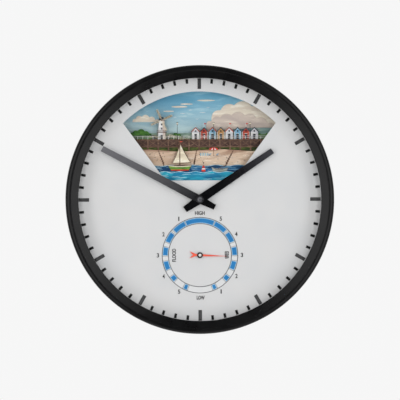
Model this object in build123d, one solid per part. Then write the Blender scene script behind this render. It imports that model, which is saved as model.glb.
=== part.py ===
from build123d import *
import os
from math import cos, floor, pi, radians, sin

# Wall tide clock: a round drum case, a dial with a fan window, and two quartz movements.
# The sea in the window is a carriage that the tide movement lifts and lowers.
# Drawn face up in millimetres: X across the dial, Y up the dial, Z out from the wall.
# The origin is the centre of the rear face, on the axis of the hands.

# Case and rim
bezel_d = 300.0
bezel_round = 5.5
bezel_ridge_w = 0.7
bezel_ridge_h = 0.6
bezel_band_w = 8.3  # of the sloping band, seen from the front
bezel_band_rise = 3.9
bezel_lip_t = 1.0
bezel_skirt = 12.5
bezel_skirt_wall = 2.8
bezel_gap = 0.2  # radial clearance of the skirt on the drum
grub_count = 4
grub_d = 3.0
grub_sink = 0.2  # how far each radial grub screw sits under the rim
grub_bite = 2.2  # how far it reaches into the drum's wall
drum_wall = 2.5
flange_w = 14.0
flange_t = 2.0
back_t = 2.0
seat_gap = 0.3  # radial clearance of each disc and ring inside the drum
fastener_count = 6
fastener_angle = 30.0
pillar_inset = 6.5  # from the drum's inner wall to the pillar axes
pillar_d = 9.0
front_pillar_d = 8.0
spigot_d = 5.0
screw_d = 3.0
screw_reach = 8.0
screw_head_d = 5.8
screw_head_h = 1.6
slip_gap = 0.05  # radial clearance of a screw, pin or running arbor

# Glass
glass_bite = 5.7  # how far the rim's lip covers the glass
glass_t = 2.0
glass_gap = 0.3
gasket_w = 4.2
gasket_t = 2.0
spacer_h = 8.0
spacer_w = 7.7

# Dial and carrier
dial_t = 1.5
dial_gap = 1.9  # from the front wave to the dial's rear face
carrier_t = 3.0
mark_t = 0.2
mark_margin = 1.1  # from the rim's opening to the marks
hour_mark_l = 11.6
hour_mark_w = 3.6
minute_mark_l = 4.8
minute_mark_w = 2.45

# Fan window
window_gap = 2.0  # from the hour marks to the window's arc
window_corner_angle = 45.0
window_bottom = 21.4
window_bottom_w = 76.6

# Tide dial below the centre
movement_apart = 6.2  # between the two movement cases, one above the other
scale_centre_gap = 19.6  # least distance from the dial's centre to the scale
scale_mark_gap = 18.0  # least distance from the hour marks to the scale
scale_w = 7.7
scale_line_w = 0.7
scale_tick_w = 0.35
scale_tick_angle = 1.1  # from each block's end to its thin line, in degrees
scale_block_gap = 0.35
scale_high_angle = 23.5
scale_blocks = [(25.0, 46.5), (51.3, 68.0), (76.9, 90.3), (100.0, 114.0), (126.5, 135.0), (153.0, 159.0)]

# Hands
hand_t = 0.8
minute_hand_reach = 0.2  # how far its tip passes the inner ends of the hour marks
minute_hand_tail = 18.9
minute_hand_widths = (6.4, 8.9, 5.9)  # at the tip, the hub and the end of the tail
minute_hand_angle = 62.3
hour_hand_short = 24.9  # from its tip to the inner ends of the hour marks
hour_hand_tail = 20.0
hour_hand_widths = (6.3, 9.9, 7.0)
hour_hand_angle = -56.4
hour_hand_rise = 3.5  # from the dial's face to the hand's back
hand_step = 2.0  # from one hand's back to the next
hand_collar_t = 0.8
hand_collar_w = 1.2
nut_d = 8.8
nut_h = 2.0
nut_ring_d = 4.4
nut_ring_depth = 0.5
fit_gap = 0.02  # radial clearance of a piece pressed on its arbor
pointer_gap = 4.0  # from its tip to the tide scale
pointer_hub_w = 2.6
pointer_tail = 11.7
pointer_fork_w = 7.7
pointer_notch = 8.0
pointer_neck = 4.0
pointer_neck_w = 1.9
pointer_t = 0.6
pointer_angle = -92.5
pointer_boss_d = 6.4
pointer_boss_h = 2.0
pointer_boss_rise = 0.3
pointer_rise = 1.1

# Keyhole hanger
hanger_drop = 27.0  # from the pillars' circle to the plate's middle
hanger_w = 36.0
hanger_h = 34.0
hanger_t = 1.5
hanger_window_w = 25.0
hanger_window_h = 25.0
keyhole_d = 9.0
keyhole_drop = 6.0  # from the plate's middle down to the entry hole
keyhole_slot_w = 4.6
keyhole_slot_l = 12.0
rivet_d = 3.0
rivet_head_d = 5.0
rivet_head_h = 0.8
rivet_inset = 2.9

# Movement cases
movement_round = 3.0
shell_wall = 1.2
shell_face = 1.5
bay_gap = 0.4  # spare height beside the cell
bay_sink = 0.45  # how deep the cell lies inside the bay's mouth
contact_room = 1.7  # beyond each end of the cell
battery_d = 14.0
battery_l = 49.2
battery_nub_d = 5.2
battery_nub_l = 1.0
contact_t = 0.4
contact_w = 10.0
contact_boss_d = 5.0
bush_d = 8.0
bush_l = 11.0
bush_hole_gap = 0.1
bush_washer_d = 13.0
bush_washer_t = 0.8
bush_nut_w = 12.0
bush_nut_t = 3.0
post_d = 2.4
socket_depth = 0.5

# Trains of both movements
centre_teeth = 80
third_pinion_teeth = 8
third_teeth = 72
rotor_pinion_teeth = 8
cannon_teeth = 12
motion_teeth = 36
knob_teeth = 12
motion_pinion_teeth = 10
hour_teeth = 40
tooth_tip_share = 0.75  # of the module, outside the pitch circle
tooth_root_share = 1.15  # of the module, inside the pitch circle
tooth_foot_share = 0.27  # half a tooth's width at its foot, of the pitch angle
tooth_crest_share = 0.10  # half a tooth's width at its crest, of the pitch angle
motion_angle = 180.0
knob_angle = 90.0
third_angle = 20.0
rotor_angle = 90.0
wheel_t = 0.6
centre_clear = 0.8  # from the centre wheel's pitch circle to the battery bay
third_clear = 1.3  # from the third wheel's pitch circle to the centre arbor
motion_clear = 0.825  # from the knob's pinion to the stator
arbor_d = 3.0
arbor_pivot_d = 1.6
hour_pipe_d = 5.0
tide_arbor_d = 3.2
pipe_gap = 0.06
third_arbor_d = 1.2
rotor_arbor_d = 1.0
motion_stud_d = 1.4
motion_hub_d = 3.0
rotor_d = 7.0
rotor_h = 2.4
rotor_gap = 0.7
plate_t = 1.0
plate_side_gap = 0.1
plate_rotor_gap = 0.6
plate_end_gap = 0.4
stator_wall = 1.6
stator_t = 1.0
stator_leg_w = 1.8
core_w = 2.6
core_gap = 2.3  # from the shell to the left end of the core
core_drop = 4.3  # from the shell down to the core's axis
leg_drop = 5.4
coil_d = 6.8
coil_cheek_d = 7.8
coil_cheek_t = 1.0
coil_margin = 4.5  # of bare core to the left of the coil
coil_right = 2.0
coil_gap = 0.1
board_t = 1.0
board_right = 5.0
board_side_gap = 0.8
board_top_gap = 0.4
board_h = 11.4
knob_d = 12.0
knob_t = 3.0
knob_stand = 0.4
knob_recess = 2.6  # from the back plate's inner face to the knob
knob_arbor_d = 2.6
knob_groove_count = 18
knob_groove_d = 0.8
# Steps between the wheels, from the rear shell's floor up
third_pinion_up = 0.7
third_pinion_l = 1.5
third_hub_l = 0.8
pinion_over = 0.4  # how far a pinion reaches past its wheel on each side
centre_wheel_step = 0.3
plate_gap = 0.8
rotor_step = 0.4
running_gap = 0.3  # between two pieces that turn at different speeds
cannon_l = 2.0
motion_hub_l = 0.6
motion_pinion_over = 0.5
stud_over = 0.4
board_gap = 0.2

# Layers of the scene, from the carrier outwards
board_layer_t = 1.2
scene_margin = 6.0
scene_under = 9.4  # how far the boards reach below the window
hills_gap = 2.0
huts_gap = 1.8
walk_gap = 1.2
pad_w = 5.0
pad_inset = 3.5
pad_heights = (64.0, 50.0)
huts_base = 67.0
hills_left_rise = 5.0
hills_right_rise = 13.0
hut_count = 8
hut_w = 8.6
hut_pitch = 9.4
hut_wall_h = 9.0
hut_roof_h = 5.0
hut_first_x = -4.0
hut_eave = 0.5
mill_x = -42.0
mill_foot_w = 10.0
mill_head_w = 6.6
mill_h = 22.0
mill_sail_l = 13.0
mill_sail_w = 2.4
mill_sail_angle = 24.0
dune_h = 5.0
walk_over = 0.5  # how far the deck covers the foot of the huts
walk_h = 9.0
walk_post_w = 1.8
walk_post_drop = 4.0
walk_post_pitch = 11.5
beach_drop = 3.5  # from the deck's lower edge to the sand
beach_swell = 1.2

# Sea carriage and its drive
lift = 9.0  # throw of the eccentric: half the rise and fall of the sea
carriage_gap = 0.6
carriage_t = 1.5
head_over = 23.7  # how far the head passes each side of the window's foot
head_tuck = 0.3  # how far the head hides under the front wave
stem_wall = 2.95
carriage_bottom_margin = 8.0
pipe_slot_gap = 1.0
travel_gap = 0.4  # spare travel at each end of a slot
guide_wall = 3.3  # between the yoke's window and each guide slot
guide_y = -6.0
guide_pin_d = 3.0
guide_post_d = 6.0
guide_slot_gap = 0.05
guide_sink = 2.8
guide_shoulder_gap = 0.3
guide_pin_tail = 0.8
clip_d = 6.4
clip_t = 0.6
clip_gap = 0.3
eccentric_d = 25.0
eccentric_t = 2.0
eccentric_gap = 0.3  # the open joint: the eccentric runs this far in front of its yoke
eccentric_boss_d = 6.0
eccentric_boss_h = 1.4
yoke_gap = 0.15
wave_board_t = 1.0
wave_under = 2.4  # spare depth of the waves below the window at high tide
back_wave_top = 38.2
front_wave_top = 31.0
wave_swell = 0.7
back_wave_count = 5
front_wave_count = 7
wave_points = 36
boat_x = -22.0
boat_rise = 1.0  # from the front wave up to the keel
boat_hull_h = 6.4
boat_deck_w = 27.0
boat_keel_w = 20.0
mast_h = 27.0
mast_w = 1.1
main_sail_w = 12.0
jib_w = 8.5
sail_foot = 2.4
sail_gap = 0.9

# Worked out from the sizes above: across
rim_r = bezel_d / 2
ridge_r = rim_r - bezel_round
band_r = ridge_r - bezel_ridge_w
opening_r = band_r - bezel_band_w
glass_r = opening_r + glass_bite
drum_r = rim_r - bezel_skirt_wall - bezel_gap
drum_in_r = drum_r - drum_wall
seat_r = drum_in_r - seat_gap
pillar_r = drum_in_r - pillar_inset
hanger_y = pillar_r - hanger_drop
mark_outer_r = opening_r - mark_margin
mark_inner_r = mark_outer_r - hour_mark_l
window_r = mark_inner_r - window_gap
window_corner_x = window_r * sin(radians(window_corner_angle))
window_corner_y = window_r * cos(radians(window_corner_angle))
minute_hand_l = mark_inner_r + minute_hand_reach
hour_hand_l = mark_inner_r - hour_hand_short
movement_w = battery_l + battery_nub_l + 2 * (shell_wall + contact_room)
movement_in = movement_w / 2 - shell_wall
bay_h = battery_d + bay_gap
bay_wall_y = bay_h - movement_in
bay_room = -bay_wall_y - shell_wall
tide_drop = movement_w + movement_apart
scale_outer_r = min(tide_drop - scale_centre_gap, mark_inner_r - scale_mark_gap - tide_drop)
scale_inner_r = scale_outer_r - scale_w
pointer_l = scale_inner_r - pointer_gap
arbor_r = arbor_d / 2
pipe_r = hour_pipe_d / 2
tide_arbor_r = tide_arbor_d / 2
core_left = movement_in - core_gap
core_y = movement_in - core_drop
stator_leg_y = core_y - leg_drop
coil_left = core_left - coil_margin
board_left = movement_in - board_side_gap
board_top = movement_in - board_top_gap
plate_bottom = bay_room - plate_end_gap
centre_module = 2 * (bay_room - centre_clear) / centre_teeth
third_distance = (centre_teeth + third_pinion_teeth) * centre_module / 2
third_module = 2 * (third_distance - arbor_r - third_clear) / third_teeth
motion_room = stator_leg_y - stator_leg_w / 2 - motion_clear
motion_module = motion_room / (motion_teeth / 2 + knob_teeth + tooth_tip_share)
motion_distance = (cannon_teeth + motion_teeth) * motion_module / 2
hour_module = 2 * motion_distance / (motion_pinion_teeth + hour_teeth)

# Levels, from the wall outwards
movement_z = back_t + knob_recess + knob_t + knob_stand
movement_t = bay_sink + battery_d + slip_gap + shell_face
floor_z = movement_z + shell_wall
split_z = movement_z + movement_t / 2
carrier_rear_z = movement_z + movement_t
shell_face_z = carrier_rear_z - shell_face
carrier_z = carrier_rear_z + carrier_t
hills_z = carrier_z + board_layer_t + hills_gap
huts_z = hills_z + board_layer_t + huts_gap
walk_z = huts_z + board_layer_t + walk_gap
beach_z = walk_z + board_layer_t
carriage_z = beach_z + board_layer_t + carriage_gap
carriage_front_z = carriage_z + carriage_t
back_wave_z = carriage_front_z
boat_z = back_wave_z + wave_board_t
front_wave_z = boat_z + wave_board_t
dial_rear_z = front_wave_z + wave_board_t + dial_gap
dial_z = dial_rear_z + dial_t
drum_depth = dial_z + spacer_h
glass_z = drum_depth + gasket_t
hour_hand_z = dial_z + hour_hand_rise
minute_hand_z = hour_hand_z + hand_step

# Heights above the rear shell's floor
centre_wheel_up = third_pinion_up + centre_wheel_step
third_hub_up = third_pinion_up + third_pinion_l
third_wheel_up = third_hub_up + third_hub_l
rotor_pinion_up = third_wheel_up - pinion_over
rotor_pinion_l = wheel_t + 2 * pinion_over
rotor_up = rotor_pinion_up + rotor_pinion_l + rotor_step
plate_up = third_wheel_up + wheel_t + plate_gap
stator_up = rotor_up + (rotor_h - stator_t) / 2
cannon_up = plate_up + plate_t + running_gap
motion_up = cannon_up + motion_hub_l
knob_pinion_up = motion_up - pinion_over
knob_pinion_l = wheel_t + 2 * pinion_over
hour_wheel_up = cannon_up + cannon_l + running_gap
motion_top_up = hour_wheel_up + wheel_t + motion_pinion_over
stud_top_up = motion_top_up + stud_over
board_up = stud_top_up + board_gap

# Heights on the dial, and the sea's travel
scene_bottom = window_bottom - scene_under
walk_top = huts_base + walk_over
walk_bottom = walk_top - walk_h
beach_top = walk_bottom - beach_drop
wave_bottom = window_bottom - lift - wave_under
carriage_head_top = front_wave_top - wave_swell - head_tuck
carriage_head_half = window_bottom_w / 2 + head_over
guide_x = eccentric_d / 2 + lift + yoke_gap + guide_wall + guide_pin_d / 2 + guide_slot_gap
carriage_stem_half = guide_x + guide_pin_d / 2 + guide_slot_gap + stem_wall
boat_keel = front_wave_top + boat_rise
boat_deck = boat_keel + boat_hull_h
rest_lift = lift * cos(radians(pointer_angle))
lift_up = lift - rest_lift
lift_down = lift + rest_lift
cut = 1.0  # overrun of every cutting tool past the face that it cuts


def disc(radius, height, bottom, x=0, y=0):
    """A plain cylinder standing on a level."""
    return Pos(x, y, bottom) * Cylinder(radius, height, align=(Align.CENTER, Align.CENTER, Align.MIN))


def ring(inner, outer, height, bottom, x=0, y=0):
    """A plain ring standing on a level."""
    hole = disc(inner, height + 2 * cut, bottom - cut, x, y)
    return disc(outer, height, bottom, x, y) - hole


def block(x0, x1, y0, y1, z0, z1):
    """A box between two corners."""
    corner = Pos(min(x0, x1), min(y0, y1), min(z0, z1))
    return corner * Box(abs(x1 - x0), abs(y1 - y0), abs(z1 - z0), align=(Align.MIN,) * 3)


def board(face, thickness, bottom):
    """A flat board of any outline, lying on a level."""
    return Pos(0, 0, bottom) * extrude(face, thickness)


def outline(points):
    """A closed straight-sided face."""
    return make_face(Polyline(*points, close=True))


def around(radius, count, first=0.0):
    """Places spaced evenly round the dial."""
    turns = [radians(first + 360 * k / count) for k in range(count)]
    return [(radius * cos(turn), radius * sin(turn)) for turn in turns]


def polar(x, y, radius, angle):
    """The place at a radius and angle from another place."""
    return x + radius * cos(radians(angle)), y + radius * sin(radians(angle))


def write(node, *pieces):
    """Stand the pieces upright and write them as one node."""
    solids = [solid for piece in pieces for solid in (Rot(X=90) * piece).solids()]
    export_step(Compound(solids), f"parts/{node}.step")


# Case


def case_drum():
    """Rolled steel drum with an inner flange near its rear edge."""
    drum = ring(drum_in_r, drum_r, drum_depth, 0)
    drum += ring(drum_in_r - flange_w, drum_in_r + drum_wall / 2, flange_t, back_t)
    for x, y in around(pillar_r, fastener_count, fastener_angle):
        drum -= disc(spigot_d / 2 + slip_gap, flange_t + 2 * cut, back_t - cut, x, y)
    return drum - radial_rods(grub_d / 2 + slip_gap, drum_in_r - cut, rim_r)


def radial_rods(radius, inner, outer):
    """Rods that point at the axis through the bezel's skirt."""
    level = drum_depth - bezel_skirt / 2
    rod = Pos(inner, 0, level) * Rot(Y=90) * Cylinder(
        radius, outer - inner, align=(Align.CENTER, Align.CENTER, Align.MIN))
    return Part() + [Rot(Z=45 + 360 * k / grub_count) * rod for k in range(grub_count)]


def bezel_ring():
    """Turned rim: skirt, pocket for the glass, sloping band and rounded edge."""
    lip_z = glass_z + glass_t
    band_z = lip_z + bezel_lip_t + bezel_band_rise
    top_z = band_z + bezel_ridge_h
    pocket_r = glass_r + glass_gap
    skirt_r = drum_r + bezel_gap
    middle = bezel_round * cos(radians(45))
    curve = [(ridge_r, top_z), (ridge_r + middle, top_z - bezel_round + middle)]
    curve.append((rim_r, top_z - bezel_round))
    path = [(rim_r, top_z - bezel_round), (rim_r, drum_depth - bezel_skirt)]
    path += [(skirt_r, drum_depth - bezel_skirt), (skirt_r, drum_depth)]
    path += [(pocket_r, drum_depth), (pocket_r, lip_z), (opening_r, lip_z)]
    path += [(opening_r, lip_z + bezel_lip_t), (band_r, band_z), (ridge_r, top_z)]
    edges = ThreePointArc(*curve) + Polyline(*path)
    profile = Plane.XZ * make_face(edges)
    return revolve(profile, Axis.Z) - radial_rods(grub_d / 2 + slip_gap, drum_r - cut, rim_r + cut)


def bezel_screws():
    """Grub screws through the skirt into the drum."""
    return radial_rods(grub_d / 2, drum_r - grub_bite, rim_r - grub_sink)


def glass_lens():
    return disc(glass_r, glass_t, glass_z)


def glass_gasket():
    return ring(glass_r - gasket_w, glass_r, gasket_t, drum_depth)


def spacer_ring():
    return ring(seat_r - spacer_w, seat_r, spacer_h, dial_z)


def countersink(x, y, gap):
    """A flat screw head with its shank, drawn from the rear face."""
    head = Pos(x, y, screw_head_h / 2) * Cone(screw_head_d / 2 + gap, screw_d / 2 + gap, screw_head_h)
    return head + disc(screw_d / 2 + gap, screw_reach, 0, x, y)


def back_plate():
    """Rear disc with battery and knob windows and the hanger's window."""
    plate = disc(seat_r, back_t, 0)
    for x, y in around(pillar_r, fastener_count, fastener_angle):
        plate -= countersink(x, y, slip_gap)
    deep = back_t + cut
    for y in (0, -tide_drop):
        plate -= block(-movement_in, movement_in, y - movement_in, y + bay_wall_y, -cut, deep)
        knob_x, knob_y = knob_place(y)
        plate -= disc(knob_d / 2 + knob_t, back_t + 2 * cut, -cut, knob_x, knob_y)
    half_w = hanger_window_w / 2
    half_h = hanger_window_h / 2
    plate -= block(-half_w, half_w, hanger_y - half_h, hanger_y + half_h, -cut, deep)
    return plate - hanger_rivets(slip_gap)


def back_screws():
    return Part() + [countersink(x, y, 0) for x, y in around(pillar_r, fastener_count, fastener_angle)]


def standoffs():
    """Rear pillars on the flange and front pillars that carry the dial."""
    pieces = []
    rear_z = back_t + flange_t
    for x, y in around(pillar_r, fastener_count, fastener_angle):
        rear = disc(pillar_d / 2, carrier_rear_z - rear_z, rear_z, x, y)
        rear += disc(spigot_d / 2, flange_t, back_t, x, y)
        rear -= disc(screw_d / 2 + slip_gap, carrier_rear_z, back_t - cut, x, y)
        front = disc(front_pillar_d / 2, dial_rear_z - carrier_z, carrier_z, x, y)
        front += disc(screw_d / 2, screw_reach, carrier_z - screw_reach, x, y)
        pieces += [rear, front]
    return pieces


def keyhole_hanger():
    """Steel plate inside the back plate, with the keyhole that takes the wall screw."""
    half_w = hanger_w / 2
    half_h = hanger_h / 2
    top = back_t + hanger_t
    plate = block(-half_w, half_w, hanger_y - half_h, hanger_y + half_h, back_t, top)
    entry_y = hanger_y - keyhole_drop
    slot_r = keyhole_slot_w / 2
    plate -= disc(keyhole_d / 2, hanger_t + 2 * cut, back_t - cut, 0, entry_y)
    plate -= disc(slot_r, hanger_t + 2 * cut, back_t - cut, 0, entry_y + keyhole_slot_l)
    plate -= block(-slot_r, slot_r, entry_y, entry_y + keyhole_slot_l, back_t - cut, top + cut)
    return plate - hanger_rivets(slip_gap)


def hanger_rivets(gap=0):
    """Four rivets, flush at the rear and headed inside."""
    pieces = []
    for side in (-1, 1):
        for end in (-1, 1):
            x = side * (hanger_w / 2 - rivet_inset)
            y = hanger_y + end * (hanger_h / 2 - rivet_inset)
            top = back_t + hanger_t
            rear = Cone(rivet_head_d / 2 + gap, rivet_d / 2 + gap, rivet_head_h)
            rivet = disc(rivet_d / 2 + gap, top, 0, x, y) + Pos(x, y, rivet_head_h / 2) * rear
            pieces.append(rivet + disc(rivet_head_d / 2, rivet_head_h, top, x, y))
    return Part() + pieces


# Carrier, dial and marks


def guide_places():
    """Where the four guide posts stand."""
    return [(x, y) for x in (-guide_x, guide_x) for y in (guide_y, -tide_drop)]


def carrier_plate():
    """Board that carries both movements behind and the scene in front."""
    plate = disc(seat_r, carrier_t, carrier_rear_z)
    deep = carrier_t + 2 * cut
    for x, y in around(pillar_r, fastener_count, fastener_angle):
        plate -= disc(screw_d / 2 + slip_gap, deep, carrier_rear_z - cut, x, y)
    for y in (0, -tide_drop):
        plate -= disc(bush_d / 2 + bush_hole_gap, deep, carrier_rear_z - cut, 0, y)
    for x, y in guide_places():
        plate -= disc(guide_pin_d / 2 + slip_gap, deep, carrier_rear_z - cut, x, y)
    return plate


def fan(margin=0):
    """The window's outline, or the same outline grown all round."""
    half = window_bottom_w / 2
    corner = (window_corner_x, window_corner_y)
    sides = Polyline((-corner[0], corner[1]), (-half, window_bottom), (half, window_bottom), corner)
    arc = ThreePointArc(corner, (0, window_r), (-corner[0], corner[1]))
    face = make_face(sides + arc)
    return offset(face, margin) if margin else face


def dial_plate():
    plate = disc(seat_r, dial_t, dial_rear_z)
    plate -= board(fan(), dial_t + 2 * cut, dial_rear_z - cut)
    plate -= disc(pipe_r + travel_gap, dial_t + 2 * cut, dial_rear_z - cut)
    return plate - disc(tide_arbor_r + travel_gap, dial_t + 2 * cut, dial_rear_z - cut, 0, -tide_drop)


def minute_track():
    """Sixty applied marks, the hour marks longer and wider."""
    marks = []
    for k in range(60):
        on_hour = k % 5 == 0
        length = hour_mark_l if on_hour else minute_mark_l
        half = (hour_mark_w if on_hour else minute_mark_w) / 2
        mark = block(-half, half, mark_outer_r - length, mark_outer_r, dial_z, dial_z + mark_t)
        marks.append(Rot(Z=6 * k) * mark)
    return marks


def sector(inner, outer, start, end):
    """A piece of a flat ring, by angles clockwise from the top."""
    far = 2 * outer
    angles = [start, (start + end) / 2, end]
    wedge = outline([(0, 0)] + [(far * sin(radians(a)), far * cos(radians(a))) for a in angles])
    return (Circle(outer) - Circle(inner)) & wedge


def scale_tick_angles():
    """Angles of the thin lines beside the blocks, on the right half of the scale."""
    angles = [(scale_high_angle + scale_blocks[0][0]) / 2]
    for start, end in scale_blocks:
        angles += [start - scale_tick_angle, end + scale_tick_angle]
    return angles[:1] + angles[2:]


def tide_scale_lines():
    """Two ring lines joined by the thin lines beside the blocks."""
    lines = ring(scale_outer_r - scale_line_w, scale_outer_r, mark_t, dial_z)
    lines += ring(scale_inner_r, scale_inner_r + scale_line_w, mark_t, dial_z)
    half = scale_tick_w / 2
    low = scale_inner_r + scale_line_w / 2
    tick = block(-half, half, low, scale_outer_r - scale_line_w / 2, dial_z, dial_z + mark_t)
    for angle in scale_tick_angles():
        lines += [Rot(Z=angle) * tick, Rot(Z=-angle) * tick]
    return Pos(0, -tide_drop, 0) * lines


def tide_scale_blocks():
    """Blue blocks between the lines, longest at high tide."""
    inner = scale_inner_r + scale_line_w + scale_block_gap
    outer = scale_outer_r - scale_line_w - scale_block_gap
    faces = [sector(inner, outer, -scale_high_angle, scale_high_angle)]
    for start, end in scale_blocks:
        faces += [sector(inner, outer, start, end), sector(inner, outer, -end, -start)]
    return [Pos(0, -tide_drop, 0) * board(face, mark_t, dial_z) for face in faces]


# Hands


def bar(length, tail, widths):
    """A straight hand that tapers both ways from its hub."""
    tip, hub, end = [width / 2 for width in widths]
    right = [(tip, length), (hub, 0), (end, -tail)]
    return outline(right + [(-x, y) for x, y in reversed(right)])


def hour_hand():
    hand = board(bar(hour_hand_l, hour_hand_tail, hour_hand_widths), hand_t, hour_hand_z)
    hand += disc(pipe_r + hand_collar_w, hand_collar_t, hour_hand_z - hand_collar_t)
    hand -= disc(pipe_r + fit_gap, hand_t + hand_collar_t + 2 * cut, hour_hand_z - hand_collar_t - cut)
    return Rot(Z=hour_hand_angle) * hand


def minute_hand():
    hand = board(bar(minute_hand_l, minute_hand_tail, minute_hand_widths), hand_t, minute_hand_z)
    hand += disc(arbor_r + hand_collar_w, hand_collar_t, minute_hand_z - hand_collar_t)
    hand -= disc(arbor_r + fit_gap, hand_t + hand_collar_t + 2 * cut, minute_hand_z - hand_collar_t - cut)
    return Rot(Z=minute_hand_angle) * hand


def hand_nut():
    """Round cap nut with a turned ring, on the end of the arbor."""
    bottom = minute_hand_z + hand_t
    nut = disc(nut_d / 2, nut_h, bottom)
    groove_z = bottom + nut_h - nut_ring_depth
    nut -= ring(nut_ring_d / 2, nut_ring_d / 2 + nut_ring_depth, nut_ring_depth, groove_z)
    return nut - disc(arbor_r + fit_gap, nut_h - nut_ring_depth + cut, bottom - cut)


def tide_pointer():
    """Fine pointer with a forked tail and a raised boss."""
    hub = pointer_hub_w / 2
    neck = pointer_neck_w / 2
    right = [(hub, 0), (neck, -pointer_neck), (pointer_fork_w / 2, -pointer_tail)]
    left = [(-x, y) for x, y in reversed(right)]
    face = outline([(0, pointer_l)] + right + [(0, -pointer_notch)] + left)
    pointer = board(face, pointer_t, dial_z + pointer_rise)
    pointer += disc(pointer_boss_d / 2, pointer_boss_h, dial_z + pointer_boss_rise)
    pointer -= disc(tide_arbor_r + fit_gap, pointer_boss_h + 2 * cut, dial_z + pointer_boss_rise - cut)
    return Pos(0, -tide_drop, 0) * Rot(Z=pointer_angle) * pointer


# Movements: each function takes the height of the movement's arbor on the dial


def gear(teeth, module, thickness, bottom, bore, aim, tooth_there):
    """A flat-toothed wheel with a tooth, or a gap, pointing along an angle."""
    pitch_r = teeth * module / 2
    root_r = pitch_r - tooth_root_share * module
    tip_r = pitch_r + tooth_tip_share * module
    step = 360 / teeth
    first = aim if tooth_there else aim + step / 2
    points = []
    for k in range(teeth):
        middle = first + k * step
        for radius, share in ((root_r, -tooth_foot_share), (tip_r, -tooth_crest_share),
                              (tip_r, tooth_crest_share), (root_r, tooth_foot_share)):
            turn = radians(middle + share * step)
            points.append((radius * cos(turn), radius * sin(turn)))
    wheel = board(outline(points), thickness, bottom)
    return wheel - disc(bore, thickness + 2 * cut, bottom - cut) if bore else wheel


def motion_place(y):
    return polar(0, y, motion_distance, motion_angle)


def knob_place(y):
    return polar(*motion_place(y), (motion_teeth + knob_teeth) * motion_module / 2, knob_angle)


def third_place(y):
    return polar(0, y, third_distance, third_angle)


def rotor_place(y):
    return polar(*third_place(y), (third_teeth + rotor_pinion_teeth) * third_module / 2, rotor_angle)


def shell_block(y, inset, bottom, top):
    """A rounded square block on the movement's outline."""
    side = movement_w - 2 * inset
    face = RectangleRounded(side, side, movement_round - inset)
    return Pos(0, y, 0) * board(face, top - bottom, bottom)


def front_shell(y, running_r):
    """Front half of a movement case, with the threaded bush."""
    shell = shell_block(y, 0, split_z, carrier_rear_z)
    shell -= shell_block(y, shell_wall, split_z - cut, shell_face_z)
    shell += disc(bush_d / 2, bush_l + shell_face / 2, carrier_rear_z - shell_face / 2, 0, y)
    shell -= disc(running_r + pipe_gap, bush_l + shell_face + 2 * cut, shell_face_z - cut, 0, y)
    x, height = rotor_place(y)
    return shell - disc(rotor_arbor_d / 2 + slip_gap, socket_depth + cut, shell_face_z - cut, x, height)


def plate_top():
    """Height of the train plate's upper edge above the movement's arbor."""
    return rotor_place(0)[1] - rotor_d / 2 - plate_rotor_gap


def post_places(y):
    """Posts under the train plate, then those under the stator."""
    side = movement_in - post_d
    low = y - plate_bottom + post_d
    high = y + plate_top() - post_d
    under_plate = [(x, height) for x in (-side, side) for height in (low, high)]
    rotor_x, rotor_y = rotor_place(y)
    left = -core_left + stator_leg_w / 2 + slip_gap
    right = rotor_x + rotor_d / 2
    return under_plate, [(left, y + stator_leg_y + stator_leg_w), (right, y + core_y)]


def rear_shell(y):
    """Rear half of a movement case, with the open battery bay."""
    shell = shell_block(y, 0, movement_z, split_z)
    shell -= shell_block(y, shell_wall, floor_z, split_z + cut)
    side = movement_in - plate_side_gap
    wall_top = bay_wall_y + shell_wall
    shell += block(-side, side, y + bay_wall_y, y + wall_top, floor_z - shell_wall / 2, shell_face_z)
    bay_y = y + bay_wall_y
    shell -= block(-movement_in, movement_in, y - movement_in, bay_y, movement_z - cut, floor_z + cut)
    under_plate, under_stator = post_places(y)
    for x, height in under_plate:
        shell += disc(post_d / 2, plate_up + shell_wall / 2, floor_z - shell_wall / 2, x, height)
    for x, height in under_stator:
        shell += disc(post_d / 2, stator_up + shell_wall / 2, floor_z - shell_wall / 2, x, height)
    knob_x, knob_y = knob_place(y)
    shell -= disc(knob_arbor_d / 2 + slip_gap, shell_wall + 2 * cut, movement_z - cut, knob_x, knob_y)
    sockets = [(arbor_pivot_d, (0, y)), (third_arbor_d, third_place(y)), (rotor_arbor_d, rotor_place(y))]
    for diameter, (x, height) in sockets:
        shell -= disc(diameter / 2 + slip_gap, socket_depth + cut, floor_z - socket_depth, x, height)
    return shell


def lying_rod(radius, x0, x1, y, z):
    """A cylinder along X."""
    turned = Rot(Y=90) * Cylinder(radius, x1 - x0, align=(Align.CENTER, Align.CENTER, Align.MIN))
    return Pos(x0, y, z) * turned


def battery_place(y):
    radius = battery_d / 2
    return y - movement_in + bay_h / 2, shell_face_z - radius - slip_gap


def battery(y):
    """One AA cell across the bottom of its movement."""
    height, level = battery_place(y)
    left = -(battery_l + battery_nub_l) / 2
    cell = lying_rod(battery_d / 2, left, left + battery_l, height, level)
    return cell + lying_rod(battery_nub_d / 2, left + battery_l / 2, -left, height, level)


def battery_contacts():
    """Leaf contacts at both ends of both cells."""
    reach = (battery_l + battery_nub_l) / 2
    pieces = []
    for y in (0, -tide_drop):
        height, level = battery_place(y)
        for side in (-1, 1):
            outer = side * movement_in
            inner = outer - side * contact_t
            half = contact_w / 2
            leaf = block(inner, outer, height - half, height + half, level - half, level + half)
            ends = sorted((side * reach, side * (movement_in - contact_t / 2)))
            pieces.append(leaf + lying_rod(contact_boss_d / 2, ends[0], ends[1], height, level))
    return pieces


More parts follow.
